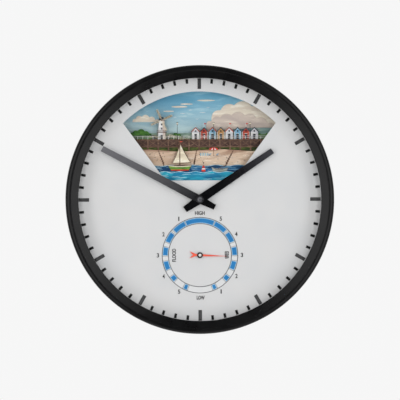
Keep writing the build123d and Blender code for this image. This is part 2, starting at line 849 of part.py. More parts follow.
def train_plate(y):
    """Inner plate with the bearings of the train and the motion wheel's stud."""
    side = movement_in - plate_side_gap
    bottom = floor_z + plate_up
    plate = block(-side, side, y - plate_bottom, y + plate_top(), bottom, bottom + plate_t)
    plate -= disc(arbor_r + slip_gap, plate_t + 2 * cut, bottom - cut, 0, y)
    third_x, third_y = third_place(y)
    plate -= disc(third_arbor_d / 2 + slip_gap, plate_t + 2 * cut, bottom - cut, third_x, third_y)
    x, height = motion_place(y)
    stud_l = stud_top_up - plate_up - plate_t / 2
    return plate + disc(motion_stud_d / 2, stud_l, bottom + plate_t / 2, x, height)


def stator(y):
    """Laminated stator: rotor block, coil core and lower leg in one plate."""
    rotor_x, rotor_y = rotor_place(y)
    hole_r = rotor_d / 2 + rotor_gap
    bottom = floor_z + stator_up
    top = bottom + stator_t
    left = rotor_x - hole_r - stator_wall
    right = rotor_x + hole_r + stator_wall
    top_y = y + core_y + core_w / 2
    plate = block(left, right, rotor_y - hole_r + stator_wall / 2, top_y, bottom, top)
    plate += block(-core_left, left + stator_wall, y + core_y - core_w / 2, top_y, bottom, top)
    leg_y = y + stator_leg_y
    half = stator_leg_w / 2
    plate += block(-core_left, left + stator_wall, leg_y - half, leg_y + half, bottom, top)
    plate += block(-core_left, -core_left + core_w, leg_y, top_y, bottom, top)
    return plate - disc(hole_r, stator_t + 2 * cut, bottom - cut, rotor_x, rotor_y)


def coil(y):
    """Wound bobbin on the core, with a cheek at each end."""
    level = floor_z + stator_up + stator_t / 2
    height = y + core_y
    spool = lying_rod(coil_d / 2, -coil_left, coil_right, height, level)
    spool += lying_rod(coil_cheek_d / 2, -coil_left, coil_cheek_t - coil_left, height, level)
    spool += lying_rod(coil_cheek_d / 2, coil_right - coil_cheek_t, coil_right, height, level)
    half_w = core_w / 2 + coil_gap
    half_t = stator_t / 2 + coil_gap
    ends = (-coil_left - cut, coil_right + cut)
    return spool - block(*ends, height - half_w, height + half_w, level - half_t, level + half_t)


def circuit_board(y):
    bottom = floor_z + board_up
    top = y + board_top
    return block(-board_left, board_right, top - board_h, top, bottom, bottom + board_t)


def rotor(y):
    """Two-pole magnet and pinion on a fine arbor."""
    x, height = rotor_place(y)
    low = floor_z - socket_depth
    piece = disc(rotor_arbor_d / 2, shell_face_z + socket_depth - low - slip_gap, low + slip_gap / 2)
    piece += disc(rotor_d / 2, rotor_h, floor_z + rotor_up)
    piece += gear(rotor_pinion_teeth, third_module, rotor_pinion_l, floor_z + rotor_pinion_up, 0,
                  rotor_angle + 180, False)
    return Pos(x, height, 0) * piece


def third_wheel(y):
    """Step-down wheel between the rotor and the centre wheel."""
    x, height = third_place(y)
    low = floor_z - socket_depth + slip_gap / 2
    piece = disc(third_arbor_d / 2, floor_z + plate_up + plate_t / 2 - low, low)
    piece += gear(third_pinion_teeth, centre_module, third_pinion_l, floor_z + third_pinion_up, 0,
                  third_angle + 180, False)
    piece += disc(third_pinion_teeth * centre_module / 2, third_hub_l, floor_z + third_hub_up)
    piece += gear(third_teeth, third_module, wheel_t, floor_z + third_wheel_up, 0, rotor_angle, True)
    return Pos(x, height, 0) * piece


def centre_wheel(y, top):
    """Wheel, arbor and cannon pinion that turn together, up to a given level."""
    low = floor_z - socket_depth + slip_gap / 2
    piece = disc(arbor_pivot_d / 2, socket_depth + centre_wheel_up, low)
    piece += disc(arbor_r, top - floor_z - centre_wheel_up / 2, floor_z + centre_wheel_up / 2)
    piece += gear(centre_teeth, centre_module, wheel_t, floor_z + centre_wheel_up, 0, third_angle, True)
    piece += gear(cannon_teeth, motion_module, cannon_l, floor_z + cannon_up, 0, motion_angle, False)
    return Pos(0, y, 0) * piece


def motion_wheel(y):
    """Wheel and pinion of the motion work, loose on their stud."""
    x, height = motion_place(y)
    bottom = floor_z + cannon_up
    piece = gear(motion_teeth, motion_module, wheel_t, floor_z + motion_up, 0, motion_angle + 180, True)
    piece += disc(motion_hub_d / 2, motion_hub_l, bottom)
    piece += gear(motion_pinion_teeth, hour_module, motion_top_up - motion_up, floor_z + motion_up, 0,
                  motion_angle + 180, False)
    piece -= disc(motion_stud_d / 2 + slip_gap, motion_top_up, bottom - cut)
    return Pos(x, height, 0) * piece


def hour_wheel():
    """Hour wheel with the long pipe that carries the hour hand."""
    bottom = floor_z + hour_wheel_up
    piece = gear(hour_teeth, hour_module, wheel_t, bottom, 0, motion_angle, True)
    piece += disc(pipe_r, hour_hand_z + hand_t - bottom, bottom)
    return piece - disc(arbor_r + pipe_gap, hour_hand_z + hand_t, bottom - cut)


def tide_wheel(y):
    """Last wheel of the tide train, with the solid arbor to the pointer."""
    bottom = floor_z + hour_wheel_up
    top = dial_z + pointer_boss_rise + pointer_boss_h + mark_t
    piece = gear(hour_teeth, hour_module, wheel_t, bottom, 0, motion_angle, True)
    return Pos(0, y, 0) * (piece + disc(tide_arbor_r, top - bottom, bottom))


def setting_knob(y):
    """Knurled knob behind the movement, with the pinion that turns the motion wheel."""
    x, height = knob_place(y)
    bottom = movement_z - knob_stand - knob_t
    piece = disc(knob_d / 2, knob_t, bottom)
    for groove_x, groove_y in around(knob_d / 2, knob_groove_count):
        piece -= disc(knob_groove_d / 2, knob_t + 2 * cut, bottom - cut, groove_x, groove_y)
    pinion_z = floor_z + knob_pinion_up
    piece += disc(knob_arbor_d / 2, pinion_z + knob_pinion_l - bottom, bottom)
    piece += gear(knob_teeth, motion_module, knob_pinion_l, pinion_z, 0, knob_angle + 180, False)
    return Pos(x, height, 0) * piece


def bush_washers():
    bore = bush_d / 2 + slip_gap
    return [ring(bore, bush_washer_d / 2, bush_washer_t, carrier_z, 0, y) for y in (0, -tide_drop)]


def bush_nuts():
    """Hexagon nuts that clamp both movements to the carrier."""
    across = bush_nut_w / (2 * cos(pi / 6))
    bottom = carrier_z + bush_washer_t
    nuts = []
    for y in (0, -tide_drop):
        nut = Pos(0, y, 0) * board(RegularPolygon(across, 6), bush_nut_t, bottom)
        nuts.append(nut - disc(bush_d / 2 + slip_gap, bush_nut_t + 2 * cut, bottom - cut, 0, y))
    return nuts


# Scene: flat boards stacked on the carrier


def scene_area():
    """The fan grown behind the dial, cut off level below the window."""
    far = 2 * window_r
    level = outline([(-far, scene_bottom), (far, scene_bottom), (far, far), (-far, far)])
    return (fan(scene_margin) + fan_foot()) & level


def fan_foot():
    """The part of every board that reaches down behind the dial."""
    half = window_bottom_w / 2 + scene_margin
    return outline([(-half, scene_bottom), (half, scene_bottom),
                    (half, window_bottom), (-half, window_bottom)])


def below(skyline):
    """Everything under a skyline, from far left to far right."""
    far = 2 * window_r
    first = skyline[0][1]
    last = skyline[-1][1]
    return outline([(-far, 0), (-far, first)] + skyline + [(far, last), (far, 0)])


def scene_backdrop():
    """Sky board against the carrier."""
    return board(scene_area(), board_layer_t, carrier_z)


def hills_layer():
    """Far hills that rise to a headland on the right."""
    steps = 12
    half = window_corner_x
    skyline = []
    for k in range(steps + 1):
        share = k / steps
        rise = hills_left_rise + (hills_right_rise - hills_left_rise) * share
        skyline.append((half * (2 * share - 1), huts_base + rise + dune_h / 4 * sin(3 * pi * share)))
    return board(scene_area() & below(skyline), board_layer_t, hills_z)


def hut_outline(k):
    """One gabled hut of the row."""
    middle = hut_first_x + k * hut_pitch
    half = hut_w / 2
    eave = huts_base + hut_wall_h
    walls = [(middle + half, huts_base - dune_h), (middle + half, eave)]
    roof = [(middle + half + hut_eave, eave), (middle, eave + hut_roof_h), (middle - half - hut_eave, eave)]
    return outline(walls + roof + [(middle - half, eave), (middle - half, huts_base - dune_h)])


def mill_outline():
    """Tower, cap and four sails of a small windmill."""
    foot = mill_foot_w / 2
    head = mill_head_w / 2
    base = huts_base
    top = base + mill_h
    tower = outline([(mill_x - foot, base - dune_h), (mill_x + foot, base - dune_h),
                     (mill_x + head, top), (mill_x - head, top)])
    cap = Pos(mill_x, top) * Circle(head)
    sails = tower + cap
    for k in range(4):
        sail = Pos(0, mill_sail_l / 2) * Rectangle(mill_sail_w, mill_sail_l)
        sails += Pos(mill_x, top) * Rot(Z=mill_sail_angle + 90 * k) * sail
    return sails


def hut_row():
    """Windmill on a dune to the left, a row of beach huts to the right."""
    dune_left = -window_corner_x
    ground = [(dune_left, huts_base), (mill_x - mill_foot_w, huts_base + dune_h),
              (mill_x + mill_foot_w, huts_base + dune_h), (hut_first_x - hut_w, huts_base)]
    face = below(ground) + mill_outline()
    for k in range(hut_count):
        face += hut_outline(k)
    return board(scene_area() & face, board_layer_t, huts_z)


def boardwalk():
    """Deck on posts in front of the huts."""
    reach = window_corner_x
    face = outline([(-reach, walk_bottom), (reach, walk_bottom), (reach, walk_top), (-reach, walk_top)])
    count = floor(reach / walk_post_pitch)
    for k in range(-count, count + 1):
        post = Rectangle(walk_post_w, walk_post_drop, align=(Align.CENTER, Align.MAX))
        face += Pos(k * walk_post_pitch, walk_bottom) * post
    return board(scene_area() & face, board_layer_t, walk_z)


def beach_layer():
    """Sand in front of the deck, down behind the sea."""
    steps = 12
    far = window_corner_x
    skyline = []
    for k in range(steps + 1):
        share = k / steps
        skyline.append((far * (2 * share - 1), beach_top + beach_swell * sin(4 * pi * share)))
    return board(scene_area() & below(skyline), board_layer_t, beach_z)


def layer_pads():
    """Small pads that hold the boards apart, out of sight behind the dial."""
    slope = (window_corner_x - window_bottom_w / 2) / (window_corner_y - window_bottom)
    half = pad_w / 2
    pads = []
    for height, front in zip(pad_heights, (walk_z, beach_z)):
        edge = window_bottom_w / 2 + (height - window_bottom) * slope
        for rear, upper in ((carrier_z, hills_z), (hills_z, huts_z), (huts_z, front)):
            lower = rear + board_layer_t
            for x in (-edge - pad_inset, edge + pad_inset):
                pads.append(block(x - half, x + half, height - half, height + half, lower, upper))
    return pads


# Sea carriage


def carriage_face():
    """Head that carries the waves and stem that reaches down to the yoke."""
    head = carriage_head_half
    stem = carriage_stem_half
    bottom = -tide_drop - lift - eccentric_d / 2 - carriage_bottom_margin
    return outline([(-head, wave_bottom), (-head, carriage_head_top), (head, carriage_head_top),
                    (head, wave_bottom), (stem, wave_bottom), (stem, bottom),
                    (-stem, bottom), (-stem, wave_bottom)])


def slot(x, y, radius, side_gap):
    """An upright slot round something that stands still while the carriage travels."""
    width = radius + side_gap
    low = y - lift_up - radius - travel_gap
    high = y + lift_down + radius + travel_gap
    return outline([(x - width, low), (x + width, low), (x + width, high), (x - width, high)])


def sea_carriage():
    """Sliding plate: the eccentric moves it, the posts guide it."""
    face = carriage_face() - slot(0, 0, pipe_r, pipe_slot_gap)
    for x, y in guide_places():
        face -= slot(x, y, guide_pin_d / 2, guide_slot_gap)
    half_w = eccentric_d / 2 + lift + yoke_gap
    half_h = eccentric_d / 2 + yoke_gap
    middle = rest_lift - tide_drop
    face -= outline([(-half_w, middle - half_h), (half_w, middle - half_h),
                     (half_w, middle + half_h), (-half_w, middle + half_h)])
    return board(face, carriage_t, carriage_z)


def guide_posts():
    """Shouldered posts that stand in the carrier."""
    shoulder = carriage_z - guide_shoulder_gap
    top = carriage_front_z + clip_gap + clip_t + guide_pin_tail
    posts = []
    for x, y in guide_places():
        post = disc(guide_post_d / 2, shoulder - carrier_z, carrier_z, x, y)
        posts.append(post + disc(guide_pin_d / 2, top - carrier_z + guide_sink, carrier_z - guide_sink, x, y))
    return posts


def guide_clips():
    """Retaining washers in front of the carriage."""
    bore = guide_pin_d / 2 + fit_gap
    level = carriage_front_z + clip_gap
    return [ring(bore, clip_d / 2, clip_t, level, x, y) for x, y in guide_places()]


def sea_eccentric():
    """Disc on the tide arbor whose throw lifts the sea."""
    bottom = carriage_front_z + eccentric_gap
    x = lift * sin(radians(-pointer_angle))
    y = rest_lift
    piece = disc(eccentric_d / 2, eccentric_t, bottom, x, y)
    piece += disc(eccentric_boss_d / 2, eccentric_t + eccentric_boss_h, bottom)
    piece -= disc(tide_arbor_r + fit_gap, eccentric_t + eccentric_boss_h + 2 * cut, bottom - cut)
    return Pos(0, -tide_drop, 0) * piece


def wave(top, count, level):
    """A board with a swell along its top edge and a notch over the hour pipe."""
    half = carriage_head_half
    swell = []
    for k in range(wave_points + 1):
        share = k / wave_points
        swell.append((half * (2 * share - 1), top + wave_swell * sin(2 * pi * count * share)))
    face = outline([(-half, wave_bottom)] + swell + [(half, wave_bottom)])
    return board(face - slot(0, 0, pipe_r, pipe_slot_gap), wave_board_t, level)


def dinghy():
    """Small sailing boat cut from one board."""
    deck = boat_deck_w / 2
    keel = boat_keel_w / 2
    hull = outline([(-keel, boat_keel), (keel, boat_keel), (deck, boat_deck), (-deck, boat_deck)])
    mast = Pos(0, boat_deck) * Rectangle(mast_w, mast_h, align=(Align.CENTER, Align.MIN))
    foot = boat_deck + sail_foot
    head = boat_deck + mast_h - sail_foot
    main = outline([(0, foot), (main_sail_w, foot + sail_gap), (0, head)])
    jib = outline([(0, foot), (0, head - 2 * sail_foot), (-jib_w, foot)])
    return Pos(boat_x, 0, 0) * board(hull + mast + main + jib, wave_board_t, boat_z)


def main():
    os.makedirs("parts", exist_ok=True)
    for piece in (case_drum, bezel_ring, bezel_screws, glass_lens, glass_gasket, spacer_ring,
                  back_plate, back_screws, keyhole_hanger, hanger_rivets, carrier_plate, dial_plate,
                  hour_hand, minute_hand, hand_nut, tide_pointer,
                  tide_scale_lines, scene_backdrop, hills_layer, hut_row, boardwalk, beach_layer,
                  sea_carriage, sea_eccentric, dinghy):
        write(piece.__name__, piece())
    for group in (standoffs, minute_track, tide_scale_blocks, battery_contacts,
                  bush_washers, bush_nuts, layer_pads, guide_posts, guide_clips):
        write(group.__name__, *group())
    write("wave_back", wave(back_wave_top, back_wave_count, back_wave_z))
    write("wave_front", wave(front_wave_top, front_wave_count, front_wave_z))
    places = {"clock": 0, "tide": -tide_drop}
    for name, y in places.items():
        write(f"{name}_front_shell", front_shell(y, pipe_r if name == "clock" else tide_arbor_r))
        write(f"{name}_battery", battery(y))
        for piece in (rear_shell, coil, rotor, third_wheel, motion_wheel, setting_knob):
            write(f"{name}_{piece.__name__}", piece(y))
    write("clock_centre_wheel", centre_wheel(0, minute_hand_z + hand_t + nut_h - 2 * nut_ring_depth))
    write("tide_centre_wheel", centre_wheel(-tide_drop, floor_z + cannon_up + cannon_l))
    write("hour_wheel", hour_wheel())
    write("tide_wheel", tide_wheel(-tide_drop))
    pairs = {"train_plates": train_plate, "stators": stator, "circuit_boards": circuit_board}
    for group, piece in pairs.items():
        write(group, *[piece(y) for y in places.values()])


main()
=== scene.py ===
from math import cos, hypot, pi, radians, sin, sqrt

import bmesh
import bpy
from mathutils import Matrix, Vector


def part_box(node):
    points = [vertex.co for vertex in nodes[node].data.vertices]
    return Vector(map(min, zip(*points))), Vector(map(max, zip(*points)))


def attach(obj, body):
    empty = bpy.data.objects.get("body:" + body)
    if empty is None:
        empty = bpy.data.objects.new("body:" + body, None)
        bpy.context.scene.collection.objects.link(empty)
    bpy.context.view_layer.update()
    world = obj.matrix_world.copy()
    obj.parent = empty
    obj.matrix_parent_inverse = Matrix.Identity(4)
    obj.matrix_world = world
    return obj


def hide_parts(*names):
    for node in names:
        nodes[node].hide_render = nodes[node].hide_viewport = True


# Tide clock: its finishes, the layered seaside picture in the window, and the studio light.
# Lengths are millimetres on the clock: x to the right, height up the dial, out from the wall.

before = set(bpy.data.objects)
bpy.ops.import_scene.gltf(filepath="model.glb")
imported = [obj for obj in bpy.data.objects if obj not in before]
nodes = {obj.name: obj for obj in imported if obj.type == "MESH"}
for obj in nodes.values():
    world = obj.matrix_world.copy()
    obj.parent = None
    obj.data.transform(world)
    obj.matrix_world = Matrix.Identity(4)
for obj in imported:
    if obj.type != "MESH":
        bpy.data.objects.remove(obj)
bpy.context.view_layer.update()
mm = 0.001
print("frame:", len(nodes), "nodes")


# Shader tools

def paint(red, green, blue):
    # a colour as a paint chart gives it, 0 to 255, made linear
    parts = [part / 255 for part in (red, green, blue)]
    return tuple([p / 12.92 if p < 0.04 else ((p + 0.055) / 1.055) ** 2.4 for p in parts] + [1])


def addNode(tree, kind, settings=None, values=None):
    node = tree.nodes.new(kind)
    for key, value in (settings or {}).items():
        setattr(node, key, value)
    for key, value in (values or {}).items():
        node.inputs[key].default_value = value
    return node


def feed(tree, target, value):
    # a socket is wired, and anything else is set as it is
    if isinstance(value, bpy.types.NodeSocket):
        tree.links.new(value, target)
    else:
        target.default_value = value


def calc(tree, operation, *values):
    node = addNode(tree, "ShaderNodeMath", {"operation": operation})
    for k, value in enumerate(values):
        feed(tree, node.inputs[k], value)
    return node.outputs[0]


def mix(tree, factor, first, second):
    node = addNode(tree, "ShaderNodeMix", {"data_type": "RGBA"})
    for k, value in ((0, factor), (6, first), (7, second)):
        feed(tree, node.inputs[k], value)
    return node.outputs[2]


def ramp(tree, value, low, high, start=0.0, end=1.0, kind="SMOOTHSTEP"):
    node = addNode(tree, "ShaderNodeMapRange", {"interpolation_type": kind})
    for k, part in enumerate((value, low, high, start, end)):
        feed(tree, node.inputs[k], part)
    return node.outputs[0]


def stretch(tree, vector, x, y, z):
    node = addNode(tree, "ShaderNodeVectorMath", {"operation": "MULTIPLY"}, {1: (x, y, z)})
    feed(tree, node.inputs[0], vector)
    return node.outputs[0]


def reachOf(tree, vector, x, y, z):
    # distance from an axis, by the parts of the vector that count
    node = addNode(tree, "ShaderNodeVectorMath", {"operation": "LENGTH"})
    feed(tree, node.inputs[0], stretch(tree, vector, x, y, z))
    return node.outputs["Value"]


def axes(tree, vector):
    node = addNode(tree, "ShaderNodeSeparateXYZ")
    feed(tree, node.inputs[0], vector)
    return node.outputs


def noise(tree, vector, scale, detail=3.0, wobble=0.0):
    node = addNode(tree, "ShaderNodeTexNoise", values={"Detail": detail, "Distortion": wobble})
    feed(tree, node.inputs["Vector"], vector)
    feed(tree, node.inputs["Scale"], scale)
    return node.outputs[0]


def newGroup(name, inputs, outputs):
    tree = bpy.data.node_groups.new(name, "ShaderNodeTree")
    for way, sockets in (("INPUT", inputs), ("OUTPUT", outputs)):
        for label, kind in sockets.items():
            tree.interface.new_socket(name=label, in_out=way, socket_type="NodeSocket" + kind)
    return tree, tree.nodes.new("NodeGroupInput").outputs, tree.nodes.new("NodeGroupOutput").inputs


uneven = {"detail": 4, "edges": (0.32, 0.68)}


def makeUnevenTone():
    # two tones of one finish in soft patches
    sockets = {"Vector": "Vector", "Color": "Color", "Shade": "Color", "Scale": "Float"}
    tree, given, made = newGroup("unevenTone", sockets, {"Color": "Color", "Mask": "Float"})
    patches = noise(tree, given["Vector"], given["Scale"], uneven["detail"])
    mask = ramp(tree, patches, *uneven["edges"])
    feed(tree, made["Mask"], mask)
    feed(tree, made["Color"], mix(tree, mask, given["Color"], given["Shade"]))
    return tree


peel = {"softDetail": 2, "fineDetail": 1, "finer": 4.3, "fineShare": 0.4}


def makeFineGrain():
    # height of a fine texture: soft orange peel with sharper specks on it
    tree, given, made = newGroup("fineGrain", {"Vector": "Vector", "Scale": "Float"}, {"Height": "Float"})
    soft = noise(tree, given["Vector"], given["Scale"], peel["softDetail"])
    finer = calc(tree, "MULTIPLY", given["Scale"], peel["finer"])
    fine = noise(tree, given["Vector"], finer, peel["fineDetail"])
    feed(tree, made["Height"], calc(tree, "MULTIPLY_ADD", fine, peel["fineShare"], soft))
    return tree


rubs = {"ways": ((1, 6, 0.12), (0.14, 5, 1)), "detail": 2, "wobble": 0.4, "edges": (0.7, 0.78)}


def makeScuffs():
    # mask of sparse hairline rubs, some upright and some level
    tree, given, made = newGroup("scuffs", {"Vector": "Vector", "Scale": "Float"}, {"Mask": "Float"})
    masks = []
    for way in rubs["ways"]:
        long = stretch(tree, given["Vector"], *way)
        lines = noise(tree, long, given["Scale"], rubs["detail"], rubs["wobble"])
        masks.append(ramp(tree, lines, *rubs["edges"]))
    feed(tree, made["Mask"], calc(tree, "MAXIMUM", *masks))
    return tree


strokeLook = {"level": (0.24, 1, 1), "broad": (3, 1.2), "short": (2, 0.6), "finer": 3.7, "shortShare": 0.6,
              "bodyEdges": (0.36, 0.6), "tipEdges": (0.52, 0.66), "underEdges": (0.38, 0.62)}


def makeBrushwork():
    # gouache: long level strokes in three tones, with short ones over them
    sockets = {"Vector": "Vector", "Dark": "Color", "Middle": "Color", "Light": "Color", "Scale": "Float"}
    tree, given, made = newGroup("brushwork", sockets, {"Color": "Color", "Height": "Float"})
    level = stretch(tree, given["Vector"], *strokeLook["level"])
    finer = calc(tree, "MULTIPLY", given["Scale"], strokeLook["finer"])
    broad = noise(tree, level, given["Scale"], *strokeLook["broad"])
    short = noise(tree, level, finer, *strokeLook["short"])
    body = mix(tree, ramp(tree, broad, *strokeLook["bodyEdges"]), given["Dark"], given["Middle"])
    tips = ramp(tree, short, *strokeLook["tipEdges"])
    lights = calc(tree, "MULTIPLY", tips, ramp(tree, broad, *strokeLook["underEdges"]))
    feed(tree, made["Color"], mix(tree, lights, body, given["Light"]))
    feed(tree, made["Height"], calc(tree, "MULTIPLY_ADD", short, strokeLook["shortShare"], broad))
    return tree


def makePlankLines():
    # grooves between boards along one direction, and a tone of its own for each board
    sockets = {"Position": "Float", "Pitch": "Float", "Groove": "Float"}
    tree, given, made = newGroup("plankLines", sockets, {"Groove": "Float", "Tone": "Float"})
    count = calc(tree, "DIVIDE", given["Position"], given["Pitch"])
    edge = calc(tree, "ABSOLUTE", calc(tree, "SUBTRACT", calc(tree, "FRACT", count), 0.5))
    start = calc(tree, "SUBTRACT", 0.5, given["Groove"])
    feed(tree, made["Groove"], calc(tree, "GREATER_THAN", edge, start))
    each = addNode(tree, "ShaderNodeTexWhiteNoise", {"noise_dimensions": "1D"})
    feed(tree, each.inputs["W"], calc(tree, "FLOOR", count))
    feed(tree, made["Tone"], each.outputs["Value"])
    return tree


groups = {
    "tone": makeUnevenTone(),
    "grain": makeFineGrain(),
    "scuffs": makeScuffs(),
    "brush": makeBrushwork(),
    "planks": makePlankLines(),
}


def use(tree, key, **values):
    node = addNode(tree, "ShaderNodeGroup", {"node_tree": groups[key]})
    for label, value in values.items():
        feed(tree, node.inputs[label], value)
    return node.outputs


def toned(tree, vector, tones, scale):
    first, second = [paint(*tone) for tone in tones]
    return use(tree, "tone", Vector=vector, Color=first, Shade=second, Scale=scale)


def grainHeight(tree, vector, scale):
    return use(tree, "grain", Vector=vector, Scale=scale)["Height"]


def newMaterial(name):
    material = bpy.data.materials.new(name)
    material.use_nodes = True
    tree = material.node_tree
    vector = addNode(tree, "ShaderNodeTexCoord").outputs["Object"]
    return material, tree, tree.nodes["Principled BSDF"], vector


def heightToNormal(tree, shader, height, depth):
    bump = addNode(tree, "ShaderNodeBump", values={"Strength": 1.0, "Distance": depth * mm})
    feed(tree, bump.inputs["Height"], height)
    feed(tree, shader.inputs["Normal"], bump.outputs["Normal"])


def surface(tree, shader, colour, mask, rough, height, depth):
    # what most finishes end with: colour, uneven roughness and relief
    feed(tree, shader.inputs["Base Color"], colour)
    feed(tree, shader.inputs["Roughness"], ramp(tree, mask, 0, 1, *rough))
    heightToNormal(tree, shader, height, depth)


def blendOut(tree, share, first, second):
    # the material's outlet mixes two shaders
    blend = addNode(tree, "ShaderNodeMixShader")
    for k, value in enumerate((share, first.outputs[0], second.outputs[0])):
        feed(tree, blend.inputs[k], value)
    feed(tree, tree.nodes["Material Output"].inputs["Surface"], blend.outputs[0])


# Plain finishes, by material slot: tones, roughness from and to, patches and grain per metre

plainFinishes = {
    "case_black": dict(tones=((11, 11, 12), (17, 17, 18)), rough=(0.27, 0.34), grain=1500, depth=0.014),
    "screw_black": dict(tones=((24, 24, 25), (38, 38, 40)), rough=(0.3, 0.42), metal=0.8, grain=2600),
    "back_black": dict(tones=((26, 26, 27), (34, 34, 35)), rough=(0.5, 0.62), grain=1900, depth=0.04),
    "steel": dict(tones=((168, 170, 172), (128, 130, 134)), rough=(0.22, 0.42), metal=1.0, grain=1400),
    "brass": dict(tones=((198, 160, 88), (166, 126, 62)), rough=(0.2, 0.38), metal=1.0, grain=1700),
    "gasket_rubber": dict(tones=((22, 22, 22), (32, 31, 30)), rough=(0.7, 0.86), grain=2400),
    "carrier_board": dict(tones=((150, 118, 84), (122, 92, 62)), rough=(0.74, 0.9), grain=2200, depth=0.05),
    "mark_black": dict(tones=((17, 17, 18), (25, 25, 26)), rough=(0.32, 0.42), grain=3000),
    "print_grey": dict(tones=((30, 30, 32), (38, 38, 40)), rough=(0.4, 0.5), grain=3000),
    "scale_grey": dict(tones=((74, 76, 79), (88, 90, 93)), rough=(0.45, 0.6), grain=4000),
    "scale_blue": dict(tones=((122, 178, 214), (134, 186, 219)), rough=(0.42, 0.56), grain=4000),
    "block_blue": dict(tones=((30, 117, 180), (40, 127, 189)), rough=(0.42, 0.56), grain=4000),
    "pointer_red": dict(tones=((232, 78, 58), (240, 100, 78)), rough=(0.34, 0.46), grain=3600),
    "movement_black": dict(tones=((20, 20, 21), (28, 28, 29)), rough=(0.42, 0.6), grain=1800, depth=0.03),
    "gear_plastic": dict(tones=((226, 222, 208), (208, 203, 188)), rough=(0.36, 0.5), grain=2600),
    "centre_brass": dict(tones=((204, 168, 96), (172, 134, 70)), rough=(0.18, 0.34), metal=1.0, grain=2100),
    "rotor_metal": dict(tones=((92, 92, 98), (66, 66, 72)), rough=(0.28, 0.46), metal=0.9, grain=1900),
    "pad_white": dict(tones=((214, 212, 206), (196, 193, 186)), rough=(0.82, 0.94), grain=1500, depth=0.08),
    "carriage_board": dict(tones=((120, 96, 70), (100, 78, 56)), rough=(0.62, 0.8), grain=1600, depth=0.04),
}

wear = {"scale": 150, "polish": -0.06}


def plainMaterial(name, tones, rough, grain, metal=0.0, depth=0.01, patches=55):
    material, tree, shader, vector = newMaterial(name)
    tone = toned(tree, vector, tones, patches)
    scuff = use(tree, "scuffs", Vector=vector, Scale=wear["scale"])["Mask"]
    feed(tree, shader.inputs["Base Color"], tone["Color"])
    worn = calc(tree, "MULTIPLY_ADD", scuff, wear["polish"], ramp(tree, tone["Mask"], 0, 1, *rough))
    feed(tree, shader.inputs["Roughness"], worn)
    shader.inputs["Metallic"].default_value = metal
    heightToNormal(tree, shader, grainHeight(tree, vector, grain), depth)
    return material


finishes = {name: plainMaterial(name, **values) for name, values in plainFinishes.items()}


# Finishes that need a pattern of their own

# painted sheens: the hands turn paler towards their tips, and the hour marks' grey inlay stands in for the
# light a domed mark reflects, darker towards the top
paintedSheens = {
    "hand_black": dict(along=(-0.885, 0.465), span=(0, 118), bend=0.75, low=(8, 8, 11), high=(107, 107, 111)),
    "hour_sheen": dict(along=(0.833, 0.553), span=(20, 100), bend=2.2, low=(8, 8, 11), high=(65, 65, 70)),
    "mark_sheen": dict(along=(0, 1), span=(-130, 130), bend=1.0, low=(80, 80, 81), high=(70, 70, 71)),
}
lacquer = {"shade": 1.12, "patches": 60, "rough": (0.2, 0.24), "grain": 2600, "depth": 0.006}


def sheenMaterial(name, along, span, bend, low, high):
    # painted sheen on satin lacquer: the colour turns paler along one direction of the dial (on the marks'
    # inlay, darker), in place of a lamp's reflection
    material, tree, shader, vector = newMaterial(name)
    place = axes(tree, vector)
    across = calc(tree, "MULTIPLY", place["X"], along[0])
    way = calc(tree, "MULTIPLY_ADD", place["Z"], along[1], across)
    share = calc(tree, "POWER", ramp(tree, way, span[0] * mm, span[1] * mm, kind="LINEAR"), bend)
    tone = toned(tree, vector, (low, [part * lacquer["shade"] for part in low]), lacquer["patches"])
    colour = mix(tree, share, tone["Color"], paint(*high))
    height = grainHeight(tree, vector, lacquer["grain"])
    surface(tree, shader, colour, tone["Mask"], lacquer["rough"], height, lacquer["depth"])
    return material


dialFace = {"tones": ((214, 214, 214), (210, 211, 212)), "patches": 24, "cell": (219, 220, 221),
            "centre": -62.2, "inner": 35.6, "outer": 41.9, "fade": 0.12,
            "rough": (0.5, 0.58), "grain": 2600, "depth": 0.012}


def dialMaterial(name):
    # printed card: the cells of the tide scale are a cleaner white than the face
    material, tree, shader, vector = newMaterial(name)
    place = axes(tree, vector)
    up = calc(tree, "SUBTRACT", place["Z"], dialFace["centre"] * mm)
    square = calc(tree, "MULTIPLY_ADD", up, up, calc(tree, "MULTIPLY", place["X"], place["X"]))
    reach = calc(tree, "SQRT", square)
    inner, outer, fade = [dialFace[key] * mm for key in ("inner", "outer", "fade")]
    outside = ramp(tree, reach, outer - fade, outer)
    inside = ramp(tree, reach, inner, inner + fade)
    cell = calc(tree, "MULTIPLY", inside, calc(tree, "SUBTRACT", 1.0, outside))
    tone = toned(tree, vector, dialFace["tones"], dialFace["patches"])
    colour = mix(tree, cell, tone["Color"], paint(*dialFace["cell"]))
    height = grainHeight(tree, vector, dialFace["grain"])
    surface(tree, shader, colour, tone["Mask"], dialFace["rough"], height, dialFace["depth"])
    return material


# tones are the painted highlight of the pale ring, low its dark, and rimShadeShare what is left of it under
# the painted shade at the rim
nutFace = {"low": (26, 26, 29), "tones": ((92, 92, 97), (116, 116, 121)), "patches": 300, "pitch": 3.3,
           "rim": (2.4, 3.6), "rimShadeShare": 0.1, "ringHighlightShare": 0.8, "rough": (0.26, 0.36), "depth": 0.05}


